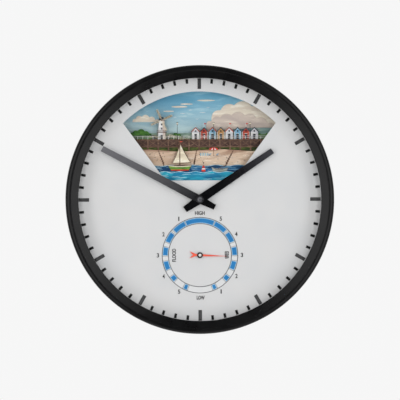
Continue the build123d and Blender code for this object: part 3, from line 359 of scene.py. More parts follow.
def nutMaterial(name):
    # turned rings in relief, with painted light over them: dark in the middle, a painted highlight on the pale
    # ring round it, and painted shade dark again at the rim
    material, tree, shader, vector = newMaterial(name)
    away = reachOf(tree, vector, 1, 0, 1)
    wave = calc(tree, "COSINE", calc(tree, "MULTIPLY", away, 2 * pi / (nutFace["pitch"] * mm)))
    rings = ramp(tree, wave, 1, -1)
    start, end = nutFace["rim"]
    fade = ramp(tree, away, start * mm, end * mm, 1, nutFace["rimShadeShare"])
    tone = toned(tree, vector, nutFace["tones"], nutFace["patches"])
    lit = calc(tree, "MULTIPLY_ADD", rings, nutFace["ringHighlightShare"], 1 - nutFace["ringHighlightShare"])
    colour = mix(tree, calc(tree, "MULTIPLY", lit, fade), paint(*nutFace["low"]), tone["Color"])
    surface(tree, shader, colour, tone["Mask"], nutFace["rough"], rings, nutFace["depth"])
    return material


pane = {"ior": 1.45, "smear": 30, "smearDetail": 2, "smearEdges": (0.3, 0.7), "rough": (0.0, 0.012)}


def glassMaterial(name):
    # light reaches the dial, and leaves it, straight through the pane
    material, tree, shader, vector = newMaterial(name)
    shader.inputs["Base Color"].default_value = (1, 1, 1, 1)
    shader.inputs["Transmission Weight"].default_value = 1.0
    shader.inputs["IOR"].default_value = pane["ior"]
    smear = noise(tree, vector, pane["smear"], pane["smearDetail"])
    feed(tree, shader.inputs["Roughness"], ramp(tree, smear, *pane["smearEdges"], *pane["rough"]))
    path = addNode(tree, "ShaderNodeLightPath").outputs
    behind = calc(tree, "MAXIMUM", path["Is Diffuse Ray"], path["Is Glossy Ray"])
    through = calc(tree, "MAXIMUM", path["Is Shadow Ray"], behind)
    blendOut(tree, through, shader, addNode(tree, "ShaderNodeBsdfTransparent"))
    return material


gouache = {"rough": 0.55, "plankLift": 0.35, "groove": 0.75, "paper": 2400, "depth": 0.05}


def paintedBoard(name, tones, scale, fade=None, planks=None):
    # gouache on card: fade = (low height, high height, three tones at the top),
    # planks = (axis that they follow one another on, pitch, share of each groove)
    material, tree, shader, vector = newMaterial(name)
    place = axes(tree, vector)
    inks = [paint(*tone) for tone in tones]
    if fade:
        low, high, tops = fade
        height = ramp(tree, place["Z"], low * mm, high * mm)
        inks = [mix(tree, height, ink, paint(*top)) for ink, top in zip(inks, tops)]
    strokes = use(tree, "brush", Vector=vector, Dark=inks[0], Middle=inks[1], Light=inks[2], Scale=scale)
    colour = strokes["Color"]
    if planks:
        axis, pitch, groove = planks
        lines = use(tree, "planks", Position=place[axis], Pitch=pitch * mm, Groove=groove)
        colour = mix(tree, ramp(tree, lines["Tone"], 0, 1, 0.0, gouache["plankLift"]), colour, inks[2])
        colour = mix(tree, calc(tree, "MULTIPLY", lines["Groove"], gouache["groove"]), colour, inks[0])
    feed(tree, shader.inputs["Base Color"], colour)
    shader.inputs["Roughness"].default_value = gouache["rough"]
    relief = calc(tree, "ADD", grainHeight(tree, vector, gouache["paper"]), strokes["Height"])
    heightToNormal(tree, shader, relief, gouache["depth"])
    return material


paintedFinishes = {
    "scene_sky": dict(tones=((168, 196, 202), (184, 208, 210), (204, 218, 214)), scale=70,
                      fade=(70, 118, ((92, 158, 190), (112, 174, 202), (136, 190, 212)))),
    "scene_hills": dict(tones=((116, 142, 128), (138, 162, 142), (166, 182, 156)), scale=110,
                        fade=(68, 82, ((104, 132, 138), (124, 150, 150), (150, 172, 166)))),
    "scene_huts": dict(tones=((62, 78, 42), (96, 112, 54), (142, 146, 78)), scale=260,
                       fade=(64, 70, ((46, 42, 40), (52, 48, 44), (60, 54, 50)))),
    "scene_walk": dict(tones=((58, 42, 38), (84, 62, 54), (110, 84, 72)), scale=240,
                       planks=("X", 1.45, 0.09)),
    # the sand turns darker brown towards its top: painted shade under the boardwalk
    "scene_sand": dict(tones=((196, 168, 144), (216, 192, 168), (232, 214, 194)), scale=80,
                       fade=(45, 58, ((150, 114, 94), (198, 168, 144), (222, 198, 174)))),
    "wave_blue": dict(tones=((16, 66, 112), (28, 98, 146), (76, 152, 190)), scale=130,
                      fade=(31, 38, ((12, 56, 90), (24, 88, 134), (60, 136, 174)))),
    "wave_cyan": dict(tones=((10, 98, 136), (28, 148, 178), (90, 198, 212)), scale=130,
                      fade=(22, 31, ((20, 128, 168), (46, 174, 200), (122, 216, 224)))),
    "boat_board": dict(tones=((66, 50, 36), (88, 66, 46), (112, 88, 62)), scale=300),
    "cloud_cream": dict(tones=((214, 200, 184), (228, 218, 200), (242, 236, 222)), scale=90),
    "cloud_rose": dict(tones=((190, 176, 168), (206, 192, 180), (222, 210, 196)), scale=90),
    "bush_green": dict(tones=((34, 74, 30), (62, 112, 42), (112, 158, 62)), scale=420),
    "field_green": dict(tones=((86, 122, 76), (112, 146, 92), (148, 172, 110)), scale=160),
    "grass_gold": dict(tones=((122, 122, 60), (158, 150, 78), (190, 178, 108)), scale=500),
    "hut_white": dict(tones=((188, 190, 196), (222, 222, 222), (240, 238, 232)), scale=200,
                      planks=("Z", 1.1, 0.1)),
    "hut_red": dict(tones=((146, 50, 42), (184, 70, 54), (206, 102, 80)), scale=200,
                    planks=("X", 0.95, 0.1)),
    "hut_blue": dict(tones=((96, 146, 176), (140, 186, 206), (178, 210, 222)), scale=200,
                     planks=("X", 0.95, 0.1)),
    "hut_ochre": dict(tones=((166, 122, 74), (200, 158, 100), (222, 188, 134)), scale=200,
                      planks=("Z", 1.1, 0.1)),
    "roof_slate": dict(tones=((42, 54, 64), (62, 78, 90), (90, 108, 120)), scale=320),
    "roof_red": dict(tones=((132, 52, 38), (178, 78, 54), (204, 110, 78)), scale=320),
    "trim_white": dict(tones=((206, 206, 206), (230, 229, 225), (244, 242, 236)), scale=260),
    "ink_dark": dict(tones=((26, 28, 34), (36, 38, 46), (56, 58, 66)), scale=260),
    "rail_brown": dict(tones=((92, 68, 56), (120, 92, 76), (150, 120, 98)), scale=360),
    "foam_white": dict(tones=((150, 206, 226), (196, 228, 236), (236, 244, 242)), scale=240),
    "hull_green": dict(tones=((72, 112, 44), (104, 148, 58), (142, 178, 82)), scale=240),
    "hull_grey": dict(tones=((120, 128, 124), (158, 164, 158), (192, 196, 186)), scale=240,
                      planks=("Z", 0.9, 0.1)),
    "sail_cream": dict(tones=((206, 194, 168), (228, 218, 194), (244, 238, 220)), scale=160),
    "signal_red": dict(tones=((178, 40, 34), (214, 62, 48), (234, 104, 82)), scale=300),
    "stone_grey": dict(tones=((112, 98, 88), (146, 130, 116), (180, 164, 148)), scale=500),
}

sleeve = {"band": 17.0, "cap": 24.0, "tones": ((36, 44, 62), (46, 56, 78)), "label": (202, 204, 206),
          "steel": (176, 178, 180), "patches": 70, "rough": (0.24, 0.36), "grain": 900, "depth": 0.02}


def cellMaterial(name):
    # printed sleeve in two colours, with bare metal at both ends
    material, tree, shader, vector = newMaterial(name)
    across = axes(tree, vector)["X"]
    metal = calc(tree, "GREATER_THAN", calc(tree, "ABSOLUTE", across), sleeve["cap"] * mm)
    band = calc(tree, "GREATER_THAN", across, sleeve["band"] * mm)
    tone = toned(tree, vector, sleeve["tones"], sleeve["patches"])
    printed = mix(tree, band, tone["Color"], paint(*sleeve["label"]))
    feed(tree, shader.inputs["Metallic"], metal)
    height = grainHeight(tree, vector, sleeve["grain"])
    colour = mix(tree, metal, printed, paint(*sleeve["steel"]))
    surface(tree, shader, colour, tone["Mask"], sleeve["rough"], height, sleeve["depth"])
    return material


winding = {"left": -18.7, "right": 1.0, "wire": 0.28, "gap": 0.12, "tones": ((184, 96, 52), (148, 70, 36)),
           "patches": 400, "shadow": (84, 36, 20), "cheek": (222, 220, 212), "metal": 0.7,
           "rough": (0.3, 0.45), "depth": 0.05}


def coilMaterial(name):
    # enamelled copper wire between two white cheeks
    material, tree, shader, vector = newMaterial(name)
    across = axes(tree, vector)["X"]
    gaps = use(tree, "planks", Position=across, Pitch=winding["wire"] * mm, Groove=winding["gap"])["Groove"]
    tone = toned(tree, vector, winding["tones"], winding["patches"])
    wound = mix(tree, gaps, tone["Color"], paint(*winding["shadow"]))
    left = calc(tree, "LESS_THAN", across, winding["left"] * mm)
    cheek = calc(tree, "MAXIMUM", left, calc(tree, "GREATER_THAN", across, winding["right"] * mm))
    metal = calc(tree, "MULTIPLY_ADD", cheek, -winding["metal"], winding["metal"])
    feed(tree, shader.inputs["Metallic"], metal)
    colour = mix(tree, cheek, wound, paint(*winding["cheek"]))
    height = calc(tree, "MULTIPLY", gaps, -1.0)
    surface(tree, shader, colour, tone["Mask"], winding["rough"], height, winding["depth"])
    return material


lanes = {"pitch": 1.6, "share": 0.2, "breaks": 180, "breakEdges": (0.46, 0.5), "patches": 200,
         "tones": ((20, 84, 48), (14, 70, 40)), "lane": (52, 124, 70), "rough": (0.28, 0.4), "depth": 0.04}


def circuitMaterial(name):
    # green mask over copper lanes
    material, tree, shader, vector = newMaterial(name)
    up = axes(tree, vector)["Z"]
    lines = use(tree, "planks", Position=up, Pitch=lanes["pitch"] * mm, Groove=lanes["share"])
    broken = ramp(tree, noise(tree, vector, lanes["breaks"], 1), *lanes["breakEdges"])
    lane = calc(tree, "MULTIPLY", lines["Groove"], broken)
    tone = toned(tree, vector, lanes["tones"], lanes["patches"])
    colour = mix(tree, lane, tone["Color"], paint(*lanes["lane"]))
    surface(tree, shader, colour, tone["Mask"], lanes["rough"], lane, lanes["depth"])
    return material


for name, values in paintedSheens.items():
    finishes[name] = sheenMaterial(name, **values)
for name, values in paintedFinishes.items():
    finishes[name] = paintedBoard(name, **values)
makers = {"dial_white": dialMaterial, "nut_grey": nutMaterial, "clear_glass": glassMaterial,
          "battery_case": cellMaterial, "coil_copper": coilMaterial, "board_green": circuitMaterial}
for name, maker in makers.items():
    finishes[name] = maker(name)
for node in nodes.values():
    node["givenFinish"] = node.data.materials[0].name.split(".")[0] if node.data.materials else "steel"
print("finishes:", len(finishes))


# Mesh tools

def at(x, height, out):
    return Vector((x * mm, -out * mm, height * mm))


def hardEdges(bm, angle):
    return [edge for edge in bm.edges if edge.calc_face_angle(0) > radians(angle)]


def softEdges(bm, edges, width, segments=2):
    bmesh.ops.bevel(bm, geom=edges, offset=width * mm, offset_type="OFFSET", segments=segments,
                    profile=0.5, affect="EDGES", clamp_overlap=True, material=-1)


def board(bm, outline, back, front, soft=0.0):
    # a flat shape cut from board, its front edge eased
    face = bm.faces.new([bm.verts.new(at(x, height, back)) for x, height in outline])
    made = bmesh.ops.extrude_face_region(bm, geom=[face])["geom"]
    moved = [part for part in made if isinstance(part, bmesh.types.BMVert)]
    bmesh.ops.translate(bm, verts=moved, vec=(0, (back - front) * mm, 0))
    if soft:
        softEdges(bm, [part for part in made if isinstance(part, bmesh.types.BMEdge)], soft, 1)


merge = {"lathe": 0.002, "copy": 0.003, "type": 0.001}  # distances under which doubles are one, in mm


def lathe(bm, profile, steps, x=0.0, height=0.0, closed=True):
    # profile in (radius, out), turned about an axis that points out of the dial
    corners = [bm.verts.new(at(x + radius, height, out)) for radius, out in profile]
    pairs = zip(corners, corners[1:] + (corners[:1] if closed else []))
    edges = [bm.edges.new(pair) for pair in pairs]
    bmesh.ops.spin(bm, geom=corners + edges, cent=at(x, height, 0), axis=(0, 1, 0), dvec=(0, 0, 0),
                   angle=2 * pi, steps=steps, use_merge=True, use_normal_flip=False, use_duplicate=False)
    bmesh.ops.remove_doubles(bm, verts=bm.verts, dist=merge["lathe"] * mm)


def show(name, mesh):
    piece = bpy.data.objects.new(name, mesh)
    bpy.context.scene.collection.objects.link(piece)
    return piece


def asMesh(name, bm):
    mesh = bpy.data.meshes.new(name)
    bm.to_mesh(mesh)
    bm.free()
    return mesh


def keep(name, bm, finish, body, crease=20, stands=()):
    # the finished piece: faces outwards, smooth where it is round, riding on its body
    bmesh.ops.recalc_face_normals(bm, faces=bm.faces)
    mesh = asMesh(name, bm)
    mesh.shade_smooth()
    mesh.set_sharp_from_angle(angle=radians(crease))
    piece = show(name, mesh)
    for each in [finish] if isinstance(finish, str) else finish:
        mesh.materials.append(finishes[each])
    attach(piece, body)
    if stands:
        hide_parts(*stands)


def boards(name, outlines, depth, finish, body, soft=0.0):
    bm = bmesh.new()
    for outline in outlines:
        board(bm, outline, depth[0], depth[1], soft)
    keep(name, bm, finish, body)


def layer(node, body, plies):
    # adds boards to one face of the construction, by plies: lift off that face, thickness, finish, eased edge
    face = -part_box(node)[0].y / mm

    def add(name, outlines):
        lift, thick, finish, soft = plies[name]
        boards(name, outlines, (face + lift, face + lift + thick), finish, body, soft)

    return add


def addAt(add, x, height, parts):
    # several pieces drawn about one origin, moved to its place
    for name, outlines in parts.items():
        add(name, [placed(outline, x, height) for outline in outlines])


def strip(x0, h0, x1, h1, width):
    # outline of a straight bar between two places
    run = hypot(x1 - x0, h1 - h0)
    sx, sh = -(h1 - h0) / run * width / 2, (x1 - x0) / run * width / 2
    return [(x0 + sx, h0 + sh), (x0 - sx, h0 - sh), (x1 - sx, h1 - sh), (x1 + sx, h1 + sh)]


def post(x, width, low, high):
    # outline of an upright or a level bar, by its middle, its width and its two heights
    return [(x - width / 2, low), (x + width / 2, low), (x + width / 2, high), (x - width / 2, high)]


def placed(outline, x, height, turn=0.0):
    # an outline turned about its own origin, in degrees, and moved to its place
    c, s = cos(radians(turn)), sin(radians(turn))
    return [(x + across * c - up * s, height + across * s + up * c) for across, up in outline]


def between(ends, share):
    return ends[0] + (ends[1] - ends[0]) * share


def spaced(first, last, count):
    return [first + (last - first) * k / (count - 1) for k in range(count)]


def arc(x, height, wide, high, first, last, steps):
    # points along part of an oval, from one angle to another in degrees
    turns = [radians(turn) for turn in spaced(first, last, steps + 1)]
    return [(x + wide * cos(turn), height + high * sin(turn)) for turn in turns]


def oval(x, height, wide, high, count):
    return arc(x, height, wide, high, 0, 360, count)[:-1]


def scatter(k, salt):
    # a steady fraction for the k-th piece of a pattern
    value = sin(k * 12.9898 + salt * 78.233) * 43758.5453
    return value - int(value) if value > 0 else value - int(value) + 1


def spread(k, salt, ends):
    return between(ends, scatter(k, salt))


easing = {"flat": 0.4, "hard": 50}  # angles that a copy is flattened under and eased over


def eased(name, node, width, body, finish=None, crease=20):
    # a merged copy of a construction piece with its hard edges broken
    bm = bmesh.new()
    bm.from_mesh(nodes[node].data)
    bmesh.ops.remove_doubles(bm, verts=bm.verts, dist=merge["copy"] * mm)
    bmesh.ops.dissolve_limit(bm, angle_limit=radians(easing["flat"]), verts=bm.verts, edges=bm.edges)
    softEdges(bm, hardEdges(bm, easing["hard"]), width)
    given = nodes[node]["givenFinish"]
    keep(name, bm, finish or given, body, crease, [node])


for node in nodes.values():
    node.data.materials.clear()
    node.data.materials.append(finishes[node["givenFinish"]])
print("construction pieces dressed")


# Rim, hands and marks

rim = {"steps": 256, "edge": 150.0, "ridge": 144.5, "band": 143.8, "opening": 135.5, "pocket": 141.5,
       "skirt": 147.2, "rear": 42.0, "shelf": 54.5, "lip": 58.5, "lipTop": 59.5, "bandTop": 63.4,
       "top": 64.0, "round": 5.5, "arc": 10, "hard": 55, "soft": 0.22, "crease": 12}
grubs = {"count": 4, "first": 45, "radius": 1.55, "level": 48.25, "depth": 8.0, "steps": 24}


def bored(bm, cutter):
    # one mesh less another
    pieces = []
    for k, part in enumerate((bm, cutter)):
        bmesh.ops.recalc_face_normals(part, faces=part.faces)
        pieces.append(show(f"rough{k}", asMesh(f"rough{k}", part)))
    cut = pieces[0].modifiers.new("bore", "BOOLEAN")
    cut.operation, cut.solver, cut.object = "DIFFERENCE", "EXACT", pieces[1]
    view = bpy.context.evaluated_depsgraph_get()
    result = bmesh.new()
    result.from_mesh(pieces[0].evaluated_get(view).to_mesh())
    for piece in pieces:
        bpy.data.objects.remove(piece)
    return result


def rimRing():
    rounded = arc(rim["ridge"], rim["top"] - rim["round"], rim["round"], rim["round"], 90, 0, rim["arc"])
    inside = [("edge", "rear"), ("skirt", "rear"), ("skirt", "shelf"), ("pocket", "shelf"), ("pocket", "lip"),
              ("opening", "lip"), ("opening", "lipTop"), ("band", "bandTop")]
    bm = bmesh.new()
    lathe(bm, rounded + [(rim[radius], rim[out]) for radius, out in inside], rim["steps"])
    softEdges(bm, hardEdges(bm, rim["hard"]), rim["soft"])
    drills = bmesh.new()
    for k in range(grubs["count"]):
        turn = Matrix.Rotation(radians(grubs["first"] + 360 / grubs["count"] * k), 4, "Y")
        place = Matrix.Translation(at(rim["edge"], 0, grubs["level"])) @ Matrix.Rotation(pi / 2, 4, "Y")
        bmesh.ops.create_cone(drills, cap_ends=True, segments=grubs["steps"], radius1=grubs["radius"] * mm,
                              radius2=grubs["radius"] * mm, depth=grubs["depth"] * mm, matrix=turn @ place)
    keep("rim_ring", bored(bm, drills), "case_black", "case", rim["crease"], ["bezel_ring"])


rimRing()

marks = {"outer": 135.3, "hourLength": 11.7, "hourWidth": 3.9, "minuteLength": 5.2, "minuteWidth": 2.85,
         "back": 46.5, "front": 46.7, "soft": 0.05, "inlay": 0.85, "sink": 0.06, "count": 60, "perHour": 5}


def markBox(bm, k, length, width):
    # one mark, laid round the dial; gives its front face
    turn = Matrix.Rotation(2 * pi * k / marks["count"], 4, "Y")
    middle = Matrix.Translation(at(0, marks["outer"] - length / 2, (marks["back"] + marks["front"]) / 2))
    size = Matrix.Diagonal((width * mm, (marks["front"] - marks["back"]) * mm, length * mm, 1))
    made = bmesh.ops.create_cube(bm, size=1, matrix=turn @ middle @ size)["verts"]
    faces = {face for vert in made for face in vert.link_faces}
    return min(faces, key=lambda face: face.calc_center_median().y)


def dialMarks():
    longMarks, shortMarks, tops = bmesh.new(), bmesh.new(), []
    for k in range(marks["count"]):
        if k % marks["perHour"]:
            markBox(shortMarks, k, marks["minuteLength"], marks["minuteWidth"])
        else:
            tops.append(markBox(longMarks, k, marks["hourLength"], marks["hourWidth"]))
    bmesh.ops.recalc_face_normals(longMarks, faces=longMarks.faces)
    bmesh.ops.inset_individual(longMarks, faces=tops, thickness=marks["inlay"] * mm, depth=-marks["sink"] * mm)
    # the sunken face of each hour mark takes the painted sheen
    for face in tops:
        face.material_index = 1
    softEdges(shortMarks, shortMarks.edges[:], marks["soft"])
    keep("hour_marks", longMarks, ["mark_black", "mark_sheen"], "case", stands=["minute_track"])
    keep("minute_marks", shortMarks, "mark_black", "case", stands=["minute_track"])


dialMarks()

hands = {"soft": 0.16, "nutSoft": 0.12, "pointerSoft": 0.08}
# both hands carry a painted sheen: the hour hand its own, the minute hand that of hand_black
eased("hour_hand_blade", "hour_hand", hands["soft"], "hour", "hour_sheen")
eased("minute_hand_blade", "minute_hand", hands["soft"], "minute")
eased("hand_cap_nut", "hand_nut", hands["nutSoft"], "minute", "nut_grey")
eased("tide_pointer_blade", "tide_pointer", hands["pointerSoft"], "tide_hand")

boss = {"centre": -62.2, "outer": 3.3, "inner": 1.62, "back": 46.75, "front": 48.9, "hard": 55, "soft": 0.25,
        "capRadius": 1.63, "capBack": 48.95, "capFront": 49.5, "capRound": 0.35, "capHard": 40, "steps": 48}


def pointerBoss():
    bm, cap = bmesh.new(), bmesh.new()
    profile = [(boss["inner"], boss["back"]), (boss["outer"], boss["back"]),
               (boss["outer"], boss["front"]), (boss["inner"], boss["front"])]
    lathe(bm, profile, boss["steps"], 0, boss["centre"])
    softEdges(bm, hardEdges(bm, boss["hard"]), boss["soft"])
    keep("pointer_boss", bm, "mark_black", "tide_hand")
    profile = [(0, boss["capBack"]), (boss["capRadius"], boss["capBack"]),
               (boss["capRadius"], boss["capFront"] - boss["capRound"]), (0, boss["capFront"])]
    lathe(cap, profile, boss["steps"], 0, boss["centre"], closed=False)
    softEdges(cap, hardEdges(cap, boss["capHard"]), boss["capRound"] / 2)
    keep("pointer_cap", cap, "trim_white", "tide_hand")


pointerBoss()
print("rim, marks and hands made")


# Numbers and words of the tide dial

# each word: text, place across and up from the tide's centre, turn, width and height
lettering = {"centre": -62.2, "back": 46.5, "front": 46.58, "bold": 0.17, "curveSteps": 5,
             "last": 5, "pitch": 30, "reach": 47.0, "size": (2.6, 4.8), "narrow": 0.5,
             "words": [("HIGH", 0, 47.0, 0, 11.0, 4.4), ("LOW", 0.6, -47.5, 0, 8.9, 4.4),
                       ("FLOOD", -29.0, 0, 90, 14.6, 4.4), ("EBB", 30.0, 0, -90, 8.2, 4.4)]}


def letters(bm, text, x, height, turn, wide, high):
    # type narrowed to a given width and height in millimetres, thickened, turned and placed
    typed = show("type", bpy.data.curves.new("type", "FONT"))
    typed.data.body = text
    bpy.context.view_layer.update()
    with bpy.context.temp_override(object=typed, active_object=typed, selected_objects=[typed],
                                   selected_editable_objects=[typed]):
        bpy.ops.object.convert(target="CURVE")
    curve = typed.data
    points = [point for spline in curve.splines for point in (spline.bezier_points or spline.points)]
    xs, ys = [point.co[0] for point in points], [point.co[1] for point in points]
    bold = lettering["bold"]
    centre = Matrix.Translation((-(max(xs) + min(xs)) / 2, -(max(ys) + min(ys)) / 2, 0))
    size = ((wide - 2 * bold) / (max(xs) - min(xs)), (high - 2 * bold) / (max(ys) - min(ys)), 1, 1)
    curve.transform(Matrix.Diagonal(size) @ centre)
    for spline in curve.splines:
        for point in spline.bezier_points or spline.points:
            point.radius = 1.0  # the transform had scaled it, and the strokes' weight with it
    curve.offset = bold
    curve.extrude = (lettering["front"] - lettering["back"]) / 2
    curve.resolution_u = lettering["curveSteps"]
    bpy.context.view_layer.update()
    mesh = bpy.data.meshes.new_from_object(typed)
    stand = Matrix.Rotation(pi / 2, 4, "X") @ Matrix.Rotation(radians(turn), 4, "Z")
    place = at(x, lettering["centre"] + height, (lettering["front"] + lettering["back"]) / 2)
    mesh.transform(Matrix.Translation(place) @ stand @ Matrix.Scale(mm, 4))
    bm.from_mesh(mesh)
    bpy.data.objects.remove(typed)
    bpy.data.curves.remove(curve)
    bpy.data.meshes.remove(mesh)


def tideLettering():
    numbers, words = bmesh.new(), bmesh.new()
    wide, high = lettering["size"]
    for side in (-1, 1):
        for k in range(1, lettering["last"] + 1):
            figure = str(k if side < 0 else lettering["last"] + 1 - k)
            turn, reach = radians(lettering["pitch"] * k), lettering["reach"]
            own = wide * (lettering["narrow"] if figure == "1" else 1)
            letters(numbers, figure, side * reach * sin(turn), reach * cos(turn), 0, own, high)
    for word in lettering["words"]:
        letters(words, *word)
    for name, bm in (("tide_numbers", numbers), ("tide_words", words)):
        bmesh.ops.remove_doubles(bm, verts=bm.verts, dist=merge["type"] * mm)
        keep(name, bm, "print_grey", "case")


tideLettering()

# blocks of the tide scale on the right half, by their ends in degrees from the top; the first is at the top
fills = {"inner": 36.5, "outer": 41.0, "thick": 0.04, "edge": 0.75, "step": 2.5,
         "ends": [(-23.5, 23.5), (25.0, 46.5), (51.3, 68.0), (76.9, 90.3), (100.0, 114.0), (126.5, 135.0),
                  (153.0, 159.0)]}
onBlocks = layer("tide_scale_blocks", "case",
                 {"tide_block_fills": (0.0, fills["thick"], "block_blue", 0.0)})


def blockFills():
    # deep blue inside each block of the tide scale, which leaves a paler border
    outlines = []
    mirrored = [(-end, -start) for start, end in fills["ends"][1:]]
    for start, end in fills["ends"] + mirrored:
        start, end = start + fills["edge"], end - fills["edge"]
        steps = max(2, int((end - start) / fills["step"]))
        outside, inside = [arc(0, lettering["centre"], radius, radius, 90 - start, 90 - end, steps)
                           for radius in (fills["outer"], fills["inner"])]
        outlines.append(outside + inside[::-1])
    onBlocks("tide_block_fills", outlines)


blockFills()
print("lettering made")


# Sky and hills

sky = {"rearPuffs": [(22, 92, 8), (34, 97, 10), (49, 98, 12), (63, 94, 11), (74, 88, 9), (82, 84, 6)],
       "middlePuffs": [(12, 84, 4), (20, 87, 6), (31, 88, 8), (44, 89, 9), (57, 88, 8), (69, 84, 8),
                       (79, 81, 5)],
       "smallPuffs": [(-72, 88, 2.6), (-67, 90, 4), (-60, 90.5, 4.6), (-53, 89.5, 3.6), (-47, 88, 2.2)],
       "rearBase": 80.0, "middleBase": 77.0, "smallBase": 87.0, "steps": 70, "fewSteps": 50, "lip": 0.3,
       "wisps": [(-22, 104, 9, 1.0), (-14, 107, 7, 0.8), (8, 111, 10, 0.9), (-34, 99, 6, 0.7)],
       "wispSteps": 28}
onSky = layer("scene_backdrop", "case", {
    "cloud_bank_rear": (0.0, 0.4, "cloud_cream", 0.15),
    # the lower, front bank is in the rose tone: painted shade on the clouds' undersides
    "cloud_bank_front": (0.4, 0.4, "cloud_rose", 0.15),
    "cloud_small": (0.0, 0.4, "cloud_cream", 0.12),
    "cloud_wisps": (0.0, 0.4, "cloud_cream", 0.12),
})


def puffs(balls, base, steps):
    # skyline of overlapping balls (x, height, radius) over a level base
    left = min(x - radius for x, height, radius in balls)
    right = max(x + radius for x, height, radius in balls)
    skyline = []
    for x in spaced(left, right, steps + 1):
        tops = [h + sqrt(max(r * r - (x - cx) ** 2, 0)) for cx, h, r in balls if abs(x - cx) <= r]
        skyline.append((x, max(tops + [base + sky["lip"]])))
    return [(left, base)] + skyline + [(right, base)]


onSky("cloud_bank_rear", [puffs(sky["rearPuffs"], sky["rearBase"], sky["steps"])])
onSky("cloud_bank_front", [puffs(sky["middlePuffs"], sky["middleBase"], sky["steps"])])
onSky("cloud_small", [puffs(sky["smallPuffs"], sky["smallBase"], sky["fewSteps"])])
onSky("cloud_wisps", [oval(*wisp, sky["wispSteps"]) for wisp in sky["wisps"]])

# each gull has a place and a size; a wing rises with a dip and a wave in it, and thins to its tip
gulls = {"span": 3.2, "rise": 0.9, "dip": 0.35, "wave": (0.62, 0.45), "thick": 0.5, "tip": 0.08, "steps": 8,
         "places": [(-18, 96, 1.0), (-10, 100, 0.8), (-27, 92, 0.7), (4, 97, 1.1), (-2, 90, 0.6),
                    (10, 103, 0.7)]}
highUp = layer("scene_backdrop", "case", {"gulls": (0.0, 0.5, "trim_white", 0.0)})


def gullOutline(x, height, size):
    # two curved wings seen from the side
    top, under = [], []
    often, start = gulls["wave"]
    for share in spaced(-1, 1, 2 * gulls["steps"] + 1):
        out, spot = abs(share), x + size * gulls["span"] * share
        lift = gulls["rise"] * (out - gulls["dip"] * out * out) * sin(pi * out * often + start)
        thick = gulls["thick"] * (1 - out) + gulls["tip"]
        top.append((spot, height + size * (lift + thick)))
        under.append((spot, height + size * lift))
    return top + under[::-1]


highUp("gulls", [gullOutline(*place) for place in gulls["places"]])

hills = {"ends": (-84.0, 84.0), "low": 60.0, "steps": 48, "height": 69.4, "tilt": 0.055, "level": -40,
         "waves": [(2.2, 17.0), (0.7, 6.3)]}
hedges = {"count": 9, "first": -70, "pitch": 17.5, "drop": 0.8, "lean": (-4, 4), "foot": 64, "wide": 0.45}
trees = {"count": 26, "first": -76, "span": 154, "jitter": 0.7, "size": (0.8, 1.6), "lift": 0.3, "high": 0.85,
         "steps": 12}
onHills = layer("hills_layer", "case", {
    "field_slope": (0.0, 0.5, "field_green", 0.12),
    "field_hedges": (0.5, 0.25, "bush_green", 0.0),
    "far_trees": (0.5, 0.4, "bush_green", 0.1),
})


def fieldTop(x):
    waves = [rise * sin(x / length) for rise, length in hills["waves"]]
    return hills["height"] + hills["tilt"] * (x - hills["level"]) + sum(waves)


def fieldSlope():
    left, right = hills["ends"]
    top = [(x, fieldTop(x)) for x in spaced(left, right, hills["steps"] + 1)]
    return [(left, hills["low"])] + top + [(right, hills["low"])]


def hedgeLines():
    lines = []
    for k in range(hedges["count"]):
        x = hedges["first"] + hedges["pitch"] * k
        foot = x + spread(k, 1, hedges["lean"])
        lines.append(strip(x, fieldTop(x) - hedges["drop"], foot, hedges["foot"], hedges["wide"]))
    return lines


def farTrees():
    crowns = []
    for k in range(trees["count"]):
        x = trees["first"] + trees["span"] * (k + trees["jitter"] * scatter(k, 2)) / trees["count"]
        size = spread(k, 3, trees["size"])
        crowns.append(oval(x, fieldTop(x) + trees["lift"] * size, size, trees["high"] * size, trees["steps"]))
    return crowns


onHills("field_slope", [fieldSlope()])
onHills("field_hedges", hedgeLines())
onHills("far_trees", farTrees())
print("sky and hills made")


# Beach huts, windmill and dune

